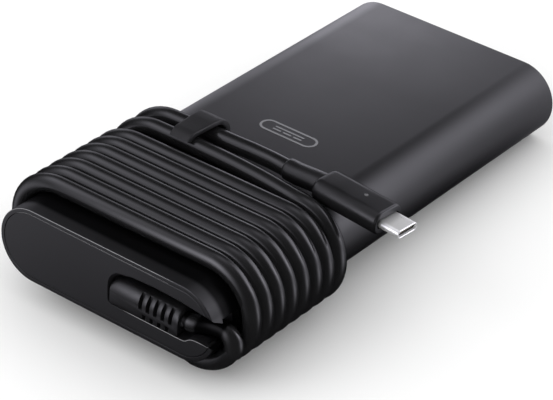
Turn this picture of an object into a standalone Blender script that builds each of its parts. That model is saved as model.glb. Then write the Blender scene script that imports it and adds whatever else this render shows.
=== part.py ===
"""Laptop power adapter with its output cable wound round the housing.

Frame: metres, origin at the centre of the underside of the housing, X across the width,
Y along the length (cable-exit end, the front, faces -Y; mains inlet, the rear, faces +Y), Z up.
Left is -X and right is +X. Sizes are in drawing units of 1.12 mm: the housing is 66 units
wide, 73.9 mm. Parts of standard size (plug shell, contacts, inlet pins) are given in
millimetres times REAL.
"""
from math import atan2, cos, degrees, pi, radians, sin

import bmesh
import bpy
from mathutils import Matrix, Vector

U = 0.00112                # metres per drawing unit
REAL = 0.001 / U           # drawing units per millimetre

# Housing: a sleeve with round sides, closed by a cap at each end
WIDTH, LENGTH, HEIGHT = 66.0, 140.0, 20.0
MID_Z = HEIGHT / 2
SIDE_R = HEIGHT / 2
X_FLAT = WIDTH / 2 - SIDE_R     # centre of each round side
SIDE_STEPS = 14                 # segments in each half circle of the section
Y_FRONT, Y_REAR = -LENGTH / 2, LENGTH / 2
WALL = 2.0
RIM = 0.4                       # visible lip of the sleeve round each end cap
CAP_T = 1.3
CAP_GAP = 0.1                   # between cap plate and rim
SPIGOT_GAP = 0.2                # between spigot and bore
REBATE_DEPTH = CAP_T + 0.25
FRONT_SPIGOT_END, REAR_SPIGOT_END = -59.6, 66.0

# Deep end of the cable channel, cut through both cap and sleeve: centre, size
DEEP_CHANNEL = ((32.25, -63.95, 10.0), (15.5, 5.5, 8.8))

# Label recessed in the underside, and the outlined mark on top
LABEL_W, LABEL_L, LABEL_R = 44.0, 72.0, 2.0
LABEL_Y = 24.0                  # middle of the label, clear of the windings
LABEL_T = 0.3                   # label thickness and depth of its recess
LABEL_GAP = 0.15
MARK_W, MARK_L, MARK_R = 17.2, 5.0, 2.49
MARK_X, MARK_Y = -0.3, -0.9
MARK_LINE = 0.7

# Mains inlet
INLET_W, INLET_H, INLET_R = 20.0, 14.2, 3.0
INLET_GAP = 0.2
LOBE_R, PIN_R = 3.3 * REAL, 1.2 * REAL
PIN_HOLE_GAP = 0.13
# x, z of each pin
PINS = {"line": (-3.5 * REAL, MID_Z - 1.9 * REAL),
        "neutral": (3.5 * REAL, MID_Z - 1.9 * REAL),
        "earth": (0.0, MID_Z + 3.2 * REAL)}

# Strain-relief sleeve lying along the front face, with its root through the cap
EXIT_X0, EXIT_X1, EXIT_Y, EXIT_Z, EXIT_R = 2.4, 21.9, -66.9, 8.8, 3.05
ROOT_X = 5.6
SLOT_PITCH = 2.15

# Wound cable
CABLE_R = 2.25
WIND_R = 12.55                  # cable centre line to the centre of the round side
Z_TOP = MID_Z + WIND_R
CABLE_ARC = 12                  # segments in each half turn
TURNS, FIRST_TURN_Y, TURN_PITCH = 7, -59.4, 4.62
LAST_TURN_Y = -23.8             # where the last turn passes under the strap
TAIL_Y = -17.25                 # centre of the strap's hook

# Strap
STRAP_X0, STRAP_X1 = -17.4, -11.9
LIP_OUTER, LIP_INNER = 3.75, 2.55
HOOK_OUTER, HOOK_INNER = 4.0, 2.85

# Free end of the cable: where it leaves the winding, where it meets the plug, plug's mouth
LIFT_AT = Vector((-8.0, -17.2, Z_TOP))
BEND_AT = Vector((11.5, -18.09, 23.25))
PLUG_NOSE = Vector((50.45, -21.16, 23.25))

# Plug overmould and sleeve, measured back from the mouth
OVER_FRONT, OVER_BACK = -6.65 * REAL, -25.7
OVER_W, OVER_H, OVER_R = 9.8, 6.2, 2.75
BOOT_R = 2.8
BOOT_BACK_GAP = 1.25            # from BEND_AT to the sleeve's back face
BOOT_FRONT_GAP = 0.25
LIGHT_ALONG, LIGHT_ACROSS = -13.5, 0.4

DARK = (0.028, 0.028, 0.031)
SHELL = (0.036, 0.036, 0.040)

# Finishes: base colour, roughness, metallic
FINISHES = {
    "case": (SHELL, 0.55, 0.0),
    "cap": (SHELL, 0.5, 0.0),
    "exit sleeve": (DARK, 0.6, 0.0),
    "cable": (DARK, 0.42, 0.0),
    "strap": (DARK, 0.55, 0.0),
    "plug body": (DARK, 0.5, 0.0),
    "inlet": ((0.02, 0.02, 0.022), 0.4, 0.0),
    "inlet pin": ((0.72, 0.66, 0.5), 0.25, 1.0),
    "label": ((0.05, 0.05, 0.055), 0.45, 0.0),
    "mark": ((0.35, 0.35, 0.37), 0.3, 0.0),
    "circuit board": ((0.03, 0.14, 0.06), 0.5, 0.0),
    "insulation": ((0.8, 0.75, 0.6), 0.6, 0.0),
    "bare metal": ((0.75, 0.76, 0.78), 0.35, 1.0),
    "thermal pad": ((0.35, 0.42, 0.5), 0.8, 0.0),
    "fuse": ((0.75, 0.72, 0.66), 0.3, 0.0),
    "varistor": ((0.05, 0.12, 0.4), 0.4, 0.0),
    "thermistor": ((0.05, 0.2, 0.1), 0.4, 0.0),
    "yellow case": ((0.7, 0.55, 0.1), 0.4, 0.0),
    "blue disc": ((0.1, 0.25, 0.55), 0.4, 0.0),
    "choke base": ((0.6, 0.55, 0.4), 0.6, 0.0),
    "choke core": ((0.08, 0.22, 0.1), 0.5, 0.0),
    "black": ((0.03, 0.03, 0.03), 0.5, 0.0),
    "ferrite": ((0.09, 0.09, 0.1), 0.7, 0.0),
    "copper winding": ((0.6, 0.28, 0.1), 0.4, 0.6),
    "yellow winding": ((0.75, 0.6, 0.1), 0.5, 0.0),
    "bulk capacitor": ((0.04, 0.05, 0.09), 0.35, 0.0),
    "bobbin": ((0.05, 0.05, 0.05), 0.5, 0.0),
    "output inductor": ((0.12, 0.12, 0.13), 0.6, 0.0),
    "output capacitor": ((0.08, 0.2, 0.35), 0.3, 0.0),
    "optocoupler": ((0.8, 0.78, 0.72), 0.5, 0.0),
    "brown wire": ((0.25, 0.1, 0.03), 0.5, 0.0),
    "blue wire": ((0.05, 0.15, 0.5), 0.5, 0.0),
    "green wire": ((0.2, 0.45, 0.1), 0.5, 0.0),
    "red wire": ((0.5, 0.03, 0.03), 0.5, 0.0),
    "light": ((0.5, 0.5, 0.52), 0.3, 0.0),
    "plug shell": ((0.8, 0.8, 0.82), 0.2, 1.0),
    "tongue": ((0.02, 0.02, 0.02), 0.4, 0.0),
    "contacts": ((0.85, 0.68, 0.3), 0.25, 1.0),
    "shield": ((0.7, 0.7, 0.72), 0.35, 1.0),
}

for old in list(bpy.data.objects):
    bpy.data.objects.remove(old, do_unlink=True)
for old in list(bpy.data.collections):
    bpy.data.collections.remove(old)

PARTS = bpy.data.collections.new("laptop_power_adapter")
CUTS = bpy.data.collections.new("cutters")
bpy.context.scene.collection.children.link(PARTS)
bpy.context.scene.collection.children.link(CUTS)


# ---------------------------------------------------------------- objects and modifiers
def place(name, mesh, cut):
    """Make an object: a visible part, or a hidden helper if cut is set."""
    ob = bpy.data.objects.new(name, mesh)
    (CUTS if cut else PARTS).objects.link(ob)
    if cut:
        ob.hide_render = True
        ob.display_type = "WIRE"
    return ob


def finish(ob, key):
    """Give a part its own material with the named finish."""
    color, rough, metal = FINISHES[key]
    material = bpy.data.materials.new("m_" + ob.name)
    material.use_nodes = True
    shader = material.node_tree.nodes["Principled BSDF"]
    shader.inputs["Base Color"].default_value = (*color, 1)
    shader.inputs["Roughness"].default_value = rough
    shader.inputs["Metallic"].default_value = metal
    material.diffuse_color = (*color, 1)
    ob.data.materials.append(material)


def add_bevel(ob, width, angle):
    bevel = ob.modifiers.new("bevel", "BEVEL")
    bevel.width = width * U
    bevel.segments = 1
    bevel.limit_method = "ANGLE"
    bevel.angle_limit = radians(angle)


def boolean(ob, other, operation="DIFFERENCE"):
    mod = ob.modifiers.new(operation.lower(), "BOOLEAN")
    mod.operation = operation
    mod.solver = "EXACT"
    mod.object = other


def move_origin(ob, point):
    """Move an object's origin to a point, leaving its shape where it is."""
    ob.data.transform(Matrix.Translation(-Vector(point) * U))
    ob.location = Vector(point) * U


# ---------------------------------------------------------------- basic solids
# Turns that lay a shape's own Z along a world axis
AXES = {"x": Matrix(((0, 0, 1), (1, 0, 0), (0, 1, 0))),
        "y": Matrix(((1, 0, 0), (0, 0, -1), (0, 1, 0))),
        "z": Matrix.Identity(3)}


def place_bmesh(name, bm, centre, shaping, cut):
    """Apply a 4x4 shaping matrix, shift to centre and make the object."""
    matrix = Matrix.Translation(Vector(centre) * U) @ shaping
    bmesh.ops.transform(bm, matrix=matrix, verts=bm.verts)
    mesh = bpy.data.meshes.new(name)
    bm.to_mesh(mesh)
    bm.free()
    return place(name, mesh, cut)


def box(name, centre, size, bevel=0.0, cut=False, turn=AXES["z"]):
    bm = bmesh.new()
    bmesh.ops.create_cube(bm, size=1.0)
    stretch = Matrix.Diagonal((*(s * U for s in size), 1))
    ob = place_bmesh(name, bm, centre, turn.to_4x4() @ stretch, cut)
    if bevel:
        add_bevel(ob, bevel, 30)
    return ob


def cylinder(name, centre, radius, length, axis="z", segments=24, bevel=0.0, cut=False,
             turn=None):
    """Cylinder along a world axis, or along the Z of a 3x3 turn if one is given."""
    bm = bmesh.new()
    bmesh.ops.create_cone(bm, cap_ends=True, segments=segments, radius1=radius * U,
                          radius2=radius * U, depth=length * U)
    turn = AXES[axis] if turn is None else turn
    ob = place_bmesh(name, bm, centre, turn.to_4x4(), cut)
    if bevel:
        add_bevel(ob, bevel, 40)
    return ob


def ball_cutter(name, centre, radius):
    bm = bmesh.new()
    bmesh.ops.create_uvsphere(bm, u_segments=16, v_segments=8, radius=radius * U)
    return place_bmesh(name, bm, centre, Matrix.Identity(4), True)


def place_curve(name, curve, points, radii=None, closed=False, placing=None, cut=False):
    """Run a polyline through the points, turn the curve into a clean mesh and place it."""
    spline = curve.splines.new("POLY")
    spline.points.add(len(points) - 1)
    for i, (x, y, z) in enumerate(points):
        spline.points[i].co = (x * U, y * U, z * U, 1)
        if radii:
            spline.points[i].radius = radii[i]
    spline.use_cyclic_u = closed
    carrier = bpy.data.objects.new("tmp", curve)
    bpy.context.scene.collection.objects.link(carrier)
    depsgraph = bpy.context.evaluated_depsgraph_get()
    mesh = bpy.data.meshes.new_from_object(carrier.evaluated_get(depsgraph))
    bpy.data.objects.remove(carrier, do_unlink=True)
    bpy.data.curves.remove(curve)
    mesh.name = name
    if placing is not None:
        mesh.transform(placing)

    # weld the caps to the sides
    bm = bmesh.new()
    bm.from_mesh(mesh)
    bmesh.ops.remove_doubles(bm, verts=bm.verts, dist=1e-6)
    bmesh.ops.recalc_face_normals(bm, faces=bm.faces)
    bm.to_mesh(mesh)
    bm.free()
    return place(name, mesh, cut)


def extrude(name, outline, length, placing, cut=False):
    """Closed outline extruded by length, centred on its own plane, then placed by a 4x4."""
    curve = bpy.data.curves.new(name, "CURVE")
    curve.dimensions = "2D"
    curve.fill_mode = "BOTH"
    curve.extrude = length / 2 * U
    points = [(x, y, 0) for x, y in outline]
    return place_curve(name, curve, points, closed=True, placing=placing, cut=cut)


def prism(name, outline, axis, start, end, cut=False):
    """Closed outline extruded along a world axis from start to end."""
    shift = Vector((0, 0, 0))
    shift["xyz".index(axis)] = (start + end) / 2
    placing = Matrix.Translation(shift * U) @ AXES[axis].to_4x4()
    return extrude(name, outline, end - start, placing, cut)


def framed_prism(name, outline, frame, start, end, cut=False):
    """Closed outline extruded along the Z of a 4x4 frame from start to end."""
    placing = frame @ Matrix.Translation((0, 0, (start + end) / 2 * U))
    return extrude(name, outline, end - start, placing, cut)


def tube(name, points, radius, resolution, radii=None):
    """Round bar swept along points, closed flat at both ends; radii are factors."""
    curve = bpy.data.curves.new(name, "CURVE")
    curve.dimensions = "3D"
    curve.fill_mode = "FULL"
    curve.bevel_depth = radius * U
    curve.bevel_resolution = resolution
    curve.use_fill_caps = True
    curve.twist_mode = "MINIMUM"
    return place_curve(name, curve, points, radii)


# ---------------------------------------------------------------- outlines
def arc(centre, radius, start, sweep, steps):
    """Points on an arc, angles in degrees."""
    angles = [radians(start + sweep * k / steps) for k in range(steps + 1)]
    return [(centre[0] + radius * cos(a), centre[1] + radius * sin(a)) for a in angles]


def housing_outline(inset=0.0):
    """Housing section, anticlockwise, shrunk by inset."""
    radius = SIDE_R - inset
    return (arc((X_FLAT, MID_Z), radius, -90, 180, SIDE_STEPS)
            + arc((-X_FLAT, MID_Z), radius, 90, 180, SIDE_STEPS))


def round_rect(width, height, radius, steps=4, x=0.0, y=0.0):
    outline = []
    for side_x, side_y, start in ((1, 1, 0), (-1, 1, 90), (-1, -1, 180), (1, -1, 270)):
        corner = (x + side_x * (width / 2 - radius), y + side_y * (height / 2 - radius))
        outline += arc(corner, radius, start, 90, steps)
    return outline


# ---------------------------------------------------------------- housing
def build_sleeve():
    sleeve = prism("sleeve_housing", housing_outline(), "y", Y_FRONT, Y_REAR)
    label_recess = round_rect(LABEL_W + 2 * LABEL_GAP, LABEL_L + 2 * LABEL_GAP,
                              LABEL_R + LABEL_GAP, y=LABEL_Y)
    for cutter in (
            prism("cut_bore", housing_outline(WALL), "y", Y_FRONT - 2, Y_REAR + 2, cut=True),
            prism("cut_rebate_front", housing_outline(RIM), "y",
                  Y_FRONT - 2, Y_FRONT + REBATE_DEPTH, cut=True),
            prism("cut_rebate_rear", housing_outline(RIM), "y",
                  Y_REAR - REBATE_DEPTH, Y_REAR + 2, cut=True),
            box("cut_side_exit", (32.0, -66.1, 10.55), (16.0, 9.8, 7.7), cut=True),
            box("cut_side_low", *DEEP_CHANNEL, cut=True),
            prism("cut_label_recess", label_recess, "z", -1.0, LABEL_T, cut=True)):
        boolean(sleeve, cutter)
    finish(sleeve, "case")


def channel_outline():
    """Cable channel in the front face (x, z): rounded left end, open to the right."""
    return (arc((5.4, 10.0), 4.4, 90, 90, 6)
            + arc((3.3, 7.5), 2.3, 180, 90, 6)
            + [(23.5, 5.2), (24.4, 5.45), (25.2, 6.2), (26.0, 6.7), (40.0, 6.7), (40.0, 14.4)])


def build_front_cap():
    """Flush face plate and spigot, with the cable channel and a pocket on the left."""
    cap = prism("front_end_cap", housing_outline(RIM + CAP_GAP), "y", Y_FRONT, Y_FRONT + CAP_T)
    spigot = prism("add_front_spigot", housing_outline(WALL + SPIGOT_GAP), "y",
                   Y_FRONT + CAP_T - 0.1, FRONT_SPIGOT_END, cut=True)
    boolean(cap, spigot, "UNION")
    for cutter in (
            prism("cut_channel", channel_outline(), "y", Y_FRONT - 1, -63.3, cut=True),
            box("cut_channel_deep", *DEEP_CHANNEL, cut=True),
            cylinder("cut_sleeve_hole", (ROOT_X, -61.5, EXIT_Z), 2.95, 6.0, "y", cut=True),
            box("cut_cap_pocket", (-15.0, -62.8, 10.0), (24.0, 8.4, 11.0), cut=True)):
        boolean(cap, cutter)
    finish(cap, "cap")


def build_rear_cap():
    """Flush face plate and hollowed spigot, open for the mains inlet."""
    cap = prism("rear_end_cap", housing_outline(RIM + CAP_GAP), "y", Y_REAR - CAP_T, Y_REAR)
    spigot = prism("add_rear_spigot", housing_outline(WALL + SPIGOT_GAP), "y",
                   REAR_SPIGOT_END, Y_REAR - CAP_T + 0.1, cut=True)
    boolean(cap, spigot, "UNION")
    boolean(cap, prism("cut_rear_pocket", housing_outline(3.4), "y", 65.0, 68.2, cut=True))
    opening = round_rect(INLET_W + 2 * INLET_GAP, INLET_H + 2 * INLET_GAP,
                         INLET_R + INLET_GAP, y=MID_Z)
    boolean(cap, prism("cut_inlet_opening", opening, "y", 60.0, 72.0, cut=True))
    finish(cap, "cap")


def build_inlet():
    """Mains inlet: three round lobes joined by a web, with a pin in each lobe."""
    inlet = prism("inlet_body", round_rect(INLET_W, INLET_H, INLET_R, y=MID_Z), "y", 57.8, 69.8)
    for i, (x, z) in enumerate(PINS.values()):
        boolean(inlet, cylinder(f"cut_inlet_lobe_{i}", (x, 66.0, z), LOBE_R, 9.0, "y", 20,
                                cut=True))
        boolean(inlet, cylinder(f"cut_inlet_pin_{i}", (x, 59.0, z), PIN_R + PIN_HOLE_GAP, 8.0,
                                "y", 12, cut=True))
    boolean(inlet, box("cut_inlet_web", (0.0, 66.0, 8.84), (3.93, 9.0, 4.29), cut=True))
    finish(inlet, "inlet")
    for name, (x, z) in PINS.items():
        pin = cylinder("inlet_pin_" + name, (x, 61.6, z), PIN_R, 12.0, "y", 12, bevel=0.27)
        finish(pin, "inlet pin")


def build_label():
    outline = round_rect(LABEL_W, LABEL_L, LABEL_R, y=LABEL_Y)
    finish(prism("rating_label", outline, "z", 0.0, LABEL_T), "label")


def build_mark():
    """Thin rounded outline standing just above the top face."""
    outer = round_rect(MARK_W, MARK_L, MARK_R, 6, MARK_X, MARK_Y)
    inner = round_rect(MARK_W - 2 * MARK_LINE, MARK_L - 2 * MARK_LINE, MARK_R - MARK_LINE,
                       6, MARK_X, MARK_Y)
    mark = prism("top_mark", outer, "z", HEIGHT + 0.02, HEIGHT + 0.06)
    boolean(mark, prism("cut_mark", inner, "z", HEIGHT - 1, HEIGHT + 1, cut=True))
    finish(mark, "mark")


# ---------------------------------------------------------------- inside
# name, centre, size, bevel, finish
BOX_COMPONENTS = [
    ("main_board", (0, 0, 5.0), (55.0, 112.0, 1.2), 0, "circuit board"),
    ("insulation_sheet", (0, 0, 2.85), (48.0, 114.0, 0.4), 0, "insulation"),
    ("heat_spreader", (0, -1, 17.3), (44.0, 108.0, 0.5), 0, "bare metal"),
    ("thermal_pad", (8, -16, 16.6), (22.0, 13.0, 0.6), 0, "thermal pad"),
    ("interference_capacitor", (-15, 42.5, 11.1), (18.0, 6.5, 10.2), 0.5, "yellow case"),
    ("choke_base", (5, 42, 6.1), (19.0, 19.0, 0.7), 0, "choke base"),
    ("bridge_rectifier", (-14, 34.5, 11.0), (15.0, 3.6, 10.0), 0.4, "black"),
    ("heat_sink", (-2.2, 12.5, 11.0), (1.4, 30.0, 10.0), 0, "bare metal"),
    ("boost_transistor", (0.4, 20.5, 11.0), (3.2, 9.5, 9.4), 0.3, "black"),
    ("main_transistor", (0.4, 5.5, 11.0), (3.2, 9.5, 9.4), 0.3, "black"),
    ("transformer_bobbin", (8, -16, 6.1), (28.0, 26.0, 0.7), 0, "bobbin"),
    ("rectifier_chip", (-14, -22, 6.4), (6.0, 5.0, 1.2), 0, "black"),
    ("optocoupler", (-24, -20, 7.6), (4.6, 6.5, 3.4), 0.2, "optocoupler"),
    ("controller_board", (-16, -9.0, 10.6), (20.0, 1.0, 9.4), 0, "circuit board"),
    ("controller_chip", (-16, -10.2, 11.0), (5.0, 1.0, 5.0), 0, "black"),
]
# name, centre, radius, length, axis, segments, bevel, finish
ROUND_COMPONENTS = [
    ("fuse", (-19, 50, 8.4), 2.4, 10.0, "x", 16, 0.3, "fuse"),
    ("varistor", (19, 51, 10.9), 4.8, 3.4, "y", 20, 0.6, "varistor"),
    ("thermistor", (19, 45, 10.0), 3.8, 3.0, "y", 20, 0.6, "thermistor"),
    ("safety_capacitor_a", (-24.0, 34.0, 9.0), 3.0, 2.4, "x", 16, 0.5, "blue disc"),
    ("safety_capacitor_b", (24.0, 36.5, 9.0), 3.0, 2.4, "x", 16, 0.5, "blue disc"),
    ("bulk_capacitor_a", (-20.3, 12.5, 11.1), 5.2, 31.0, "y", 24, 0.5, "bulk capacitor"),
    ("bulk_capacitor_b", (-9.2, 12.5, 11.1), 5.2, 31.0, "y", 24, 0.5, "bulk capacitor"),
    ("output_inductor", (-18, -33, 9.9), 5.0, 8.0, "z", 20, 0.5, "output inductor"),
    ("output_capacitor_a", (-6.5, -36, 10.9), 4.0, 10.0, "z", 20, 0.4, "output capacitor"),
    ("output_capacitor_b", (3.5, -36, 10.9), 4.0, 10.0, "z", 20, 0.4, "output capacitor"),
]
# name, radius, finish, centre line
WIRES = [
    ("line_wire", 0.75, "brown wire",
     [(-3.12, 55.4, 8.3), (-3.3, 53.9, 8.0), (-5.0, 53.0, 7.2), (-8.0, 52.6, 6.6),
      (-10.5, 52.5, 6.5)]),
    ("neutral_wire", 0.75, "blue wire",
     [(3.12, 55.4, 8.3), (3.3, 53.9, 8.0), (5.0, 53.2, 7.2), (8.0, 52.9, 6.6),
      (11.5, 52.8, 6.5)]),
    ("earth_wire", 0.75, "green wire",
     [(0.0, 55.4, 12.86), (0.0, 54.2, 12.9), (-2.0, 53.4, 14.0), (-8.0, 52.6, 15.2),
      (-14.0, 52.0, 15.5), (-20.0, 51.5, 14.5)]),
    ("output_wire_positive", 0.9, "red wire",
     [(4.4, -58.0, 8.9), (4.2, -56.5, 8.9), (3.0, -53.5, 8.4), (-1.0, -50.0, 7.0),
      (-4.0, -47.0, 6.6)]),
    ("output_wire_negative", 0.9, "black",
     [(6.9, -58.0, 8.9), (7.0, -56.5, 8.9), (7.6, -53.5, 8.4), (9.0, -50.0, 7.0),
      (10.0, -47.0, 6.6)]),
]


def build_choke_core():
    centre = (5, 42, 9.6)
    ring = cylinder("choke_core", centre, 8.6, 5.6, bevel=1.2)
    boolean(ring, cylinder("cut_choke", centre, 3.8, 9.0, segments=20, cut=True))
    finish(ring, "choke core")


def build_core(name, centre, size, leg, window):
    """Core block with two windows through Y; leg is the half width of the centre leg."""
    core = box(name, centre, size, 0.3)
    x, y, z = centre
    window_size = (window, size[1] + 4, size[2] - 3.4)
    for i, side in enumerate((-1, 1)):
        window_centre = (x + side * (leg + window / 2), y, z)
        boolean(core, box(f"cut_{name}_{i}", window_centre, window_size, cut=True))
    finish(core, "ferrite")


def build_winding(name, centre, size, hole, key):
    """Rounded block with a hole of the given X and Y size through Z."""
    block = box(name, centre, size, 1.0)
    boolean(block, box("cut_" + name, centre, (*hole, size[2] + 4), cut=True))
    finish(block, key)


def build_inside():
    for name, centre, size, bevel, key in BOX_COMPONENTS:
        finish(box(name, centre, size, bevel), key)
    for *shape, key in ROUND_COMPONENTS:
        finish(cylinder(*shape), key)
    build_choke_core()
    inductor, transformer = (15, 23, 10.9), (8, -16, 11.4)
    build_core("boost_inductor_core", inductor, (21.0, 12.0, 9.8), leg=3.2, window=4.4)
    build_winding("boost_inductor_winding", inductor, (14.6, 19.0, 5.9), (6.9, 12.5),
                  "copper winding")
    build_core("transformer_core", transformer, (26.0, 17.0, 9.4), leg=4.2, window=5.6)
    build_winding("transformer_winding", transformer, (18.8, 24.6, 5.5), (8.9, 17.5),
                  "yellow winding")
    for name, radius, key, points in WIRES:
        finish(tube(name, points, radius, 1), key)


# ---------------------------------------------------------------- cable
def build_exit_sleeve():
    """Slotted sleeve along X, with a root and flange running back through the cap."""
    sleeve = cylinder("exit_sleeve", ((EXIT_X0 + EXIT_X1) / 2, EXIT_Y, EXIT_Z), EXIT_R,
                      EXIT_X1 - EXIT_X0, "x", bevel=0.6)
    root = cylinder("add_exit_root", (ROOT_X, -62.6, EXIT_Z), 2.65, 8.6, "y", 20, cut=True)
    flange = cylinder("add_exit_flange", (ROOT_X, -58.8, EXIT_Z), 4.3, 1.1, "y", cut=True)
    boolean(sleeve, root, "UNION")
    boolean(sleeve, flange, "UNION")
    # name, count, centre of the first slot, size
    for name, count, (x, y, z), size in (
            ("cut_slot", 5, (11.4, -70.3, 10.1), (0.95, 3.0, 3.8)),
            ("cut_slot_low", 3, (12.5, -70.0, 6.2), (0.9, 3.0, 1.3))):
        for k in range(count):
            boolean(sleeve, box(f"{name}_{k}", (x + SLOT_PITCH * k, y, z), size, cut=True))
    finish(sleeve, "exit sleeve")


def cable_arc(centre, radius, start, sweep, steps, y0, y1):
    """Arc in X and Z that drifts evenly from y0 to y1."""
    return [(x, y0 + (y1 - y0) * k / steps, z)
            for k, (x, z) in enumerate(arc(centre, radius, start, sweep, steps))]


def half_turn(side, y0, y1):
    """Half turn clockwise seen from the front: up the left (-1) or down the right (1)."""
    return cable_arc((side * X_FLAT, MID_Z), WIND_R, side * 90, -180, CABLE_ARC, y0, y1)


def cable_path():
    # out of the exit sleeve and along the channel
    path = [(22.15, -66.9, 8.8), (23.5, -66.8, 8.95), (25.0, -66.5, 9.4),
            (26.8, -66.0, 9.95), (28.6, -65.3, 10.22), (30.6, -64.7, 10.3)]
    # tight bend down the right side, then on round the housing to the underside;
    # each arc's first point is left out because the path is already there
    path += cable_arc((30.6, 6.2), 4.1, 90, -116.6, 8, -64.7, -64.3)[1:]
    join_x, join_z = 34.27, 4.36
    start = degrees(atan2(join_z - MID_Z, join_x - X_FLAT))
    path += cable_arc((X_FLAT, MID_Z), WIND_R, start, -90 - start, 6, -64.3, -64.2)[1:]
    for k in range(TURNS):
        y = FIRST_TURN_Y + TURN_PITCH * k
        path += half_turn(-1, y, y) + half_turn(1, y, y)
    # last full turn: leaves a gap beside its neighbour on the left, closes up on the right
    path += half_turn(-1, LAST_TURN_Y - 0.3, LAST_TURN_Y)
    path += [(-15, LAST_TURN_Y, Z_TOP), (-5, -23.9, Z_TOP), (3, -24.2, Z_TOP),
             (10, -24.7, Z_TOP), (17, -25.7, Z_TOP)]
    path += half_turn(1, -26.8, -27.0)
    # tail: up the left side and under the strap
    path += half_turn(-1, -19.0, -17.8)
    path += [(-18, -17.45, Z_TOP), (-13, -17.27, Z_TOP), (-10.55, -17.2, Z_TOP)]
    return path


def build_cable():
    finish(tube("dc_cable", cable_path(), CABLE_R, 3), "cable")


def build_lead():
    """Free end of the cable, with ball ends at the two places where it flexes."""
    run = BEND_AT - LIFT_AT
    reach = CABLE_R * 0.985     # the balls stand out slightly less than their radius
    tip = 0.17                  # least radius factor, so the ends close with a small flat
    # (distance past the ball's centre, radius factor), from the tip inwards
    dome = [(reach * sin(radians(a)), max(cos(radians(a)), tip)) for a in (90, 66, 45, 24, 0)]
    stations = [(-out, factor) for out, factor in dome]
    stations += [(run.length * share, 1.0) for share in (0.25, 0.5, 0.75)]
    points = [LIFT_AT + run * (s / run.length) for s, _ in stations]
    points += [BEND_AT + run * (out / run.length) for out, _ in reversed(dome)]
    radii = [factor for _, factor in stations + dome[::-1]]
    lead = tube("lead_cable", points, CABLE_R, 4, radii)
    finish(lead, "cable")
    move_origin(lead, LIFT_AT)


def build_strap():
    """Lip over the last turn, flat band, hook round the rear side of the tail."""
    last_turn, tail = (LAST_TURN_Y, Z_TOP), (TAIL_Y, Z_TOP)
    profile = (arc(last_turn, LIP_OUTER, 144, -54, 5)
               + arc(tail, HOOK_OUTER, 90, -115, 9)
               + arc(tail, HOOK_INNER, -25, 115, 9)
               + arc(last_turn, LIP_INNER, 90, 54, 5))
    strap = prism("cable_clip", profile, "x", STRAP_X0, STRAP_X1)
    finish(strap, "strap")
    move_origin(strap, ((STRAP_X0 + STRAP_X1) / 2, LAST_TURN_Y, Z_TOP))


# ---------------------------------------------------------------- plug
# Plug directions: forward to the mouth, across, and up
FORWARD = (PLUG_NOSE - BEND_AT).normalized()
ACROSS = Vector((0, 0, 1)).cross(FORWARD).normalized()
UP = FORWARD.cross(ACROSS)
PLUG_TURN = Matrix((FORWARD, ACROSS, UP)).transposed()       # own X forward, Z up
SECTION_TURN = Matrix((ACROSS, UP, FORWARD)).transposed()    # own Z forward
COMB_TURN = Matrix((ACROSS, FORWARD, -UP)).transposed()      # own Y forward, Z down
NOSE_SHIFT = Matrix.Translation(PLUG_NOSE * U)
SECTION_FRAME = NOSE_SHIFT @ SECTION_TURN.to_4x4()
COMB_FRAME = NOSE_SHIFT @ COMB_TURN.to_4x4()


def plug_point(forward, across=0.0, up=0.0):
    return PLUG_NOSE + FORWARD * forward + ACROSS * across + UP * up


def plug_bar(name, width, height, corner, steps, start, end, cut=False, scale=REAL):
    """Rounded bar along the plug, measured from its mouth; in millimetres by default."""
    outline = round_rect(width * scale, height * scale, corner * scale, steps)
    return framed_prism(name, outline, SECTION_FRAME, start * scale, end * scale, cut)


def build_boot():
    """Round sleeve behind the overmould, cupped for the ball end of the lead."""
    back = -(PLUG_NOSE - BEND_AT).length + BOOT_BACK_GAP
    front = OVER_BACK - BOOT_FRONT_GAP
    boot = cylinder("plug_sleeve", plug_point((back + front) / 2), BOOT_R, front - back,
                    bevel=0.3, turn=SECTION_TURN)
    boolean(boot, ball_cutter("cut_boot_cup", BEND_AT, 2.55))
    finish(boot, "plug body")


def build_overmould():
    over = plug_bar("plug_overmould", OVER_W, OVER_H, OVER_R, 5, OVER_BACK, OVER_FRONT, scale=1)
    add_bevel(over, 0.45, 40)
    boolean(over, plug_bar("cut_plug_mouth", 8.75, 2.9, 1.44, 5, -22.2, -6.0, cut=True))
    boolean(over, plug_bar("cut_plug_pocket", 9.4, 3.9, 1.4, 4, -22.2, -9.6, cut=True))
    light_at = plug_point(LIGHT_ALONG, LIGHT_ACROSS, OVER_H / 2)
    boolean(over, cylinder("cut_light", light_at, 0.6, 0.8, segments=16, turn=PLUG_TURN,
                           cut=True))
    finish(over, "plug body")


def build_light():
    centre = plug_point(LIGHT_ALONG, LIGHT_ACROSS, OVER_H / 2 - 0.17)
    light = cylinder("plug_light", centre, 0.5, 0.3, segments=16, turn=PLUG_TURN)
    finish(light, "light")


def build_hollow_bar(name, cut_name, width, height, corner, steps, wall, span, cut_span, key):
    """Thin-walled rounded tube along the plug, in millimetres."""
    bar = plug_bar(name, width, height, corner, steps, *span)
    boolean(bar, plug_bar(cut_name, width - 2 * wall, height - 2 * wall, corner - wall, steps,
                          *cut_span, cut=True))
    finish(bar, key)


def build_tongue():
    tongue = plug_bar("plug_tongue", 7.5, 1.65, 0.8, 4, -13.6, -0.5)
    boolean(tongue, plug_bar("cut_tongue", 6.8, 1.0, 0.3, 2, -6.3, 0.5, cut=True))
    finish(tongue, "tongue")


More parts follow.
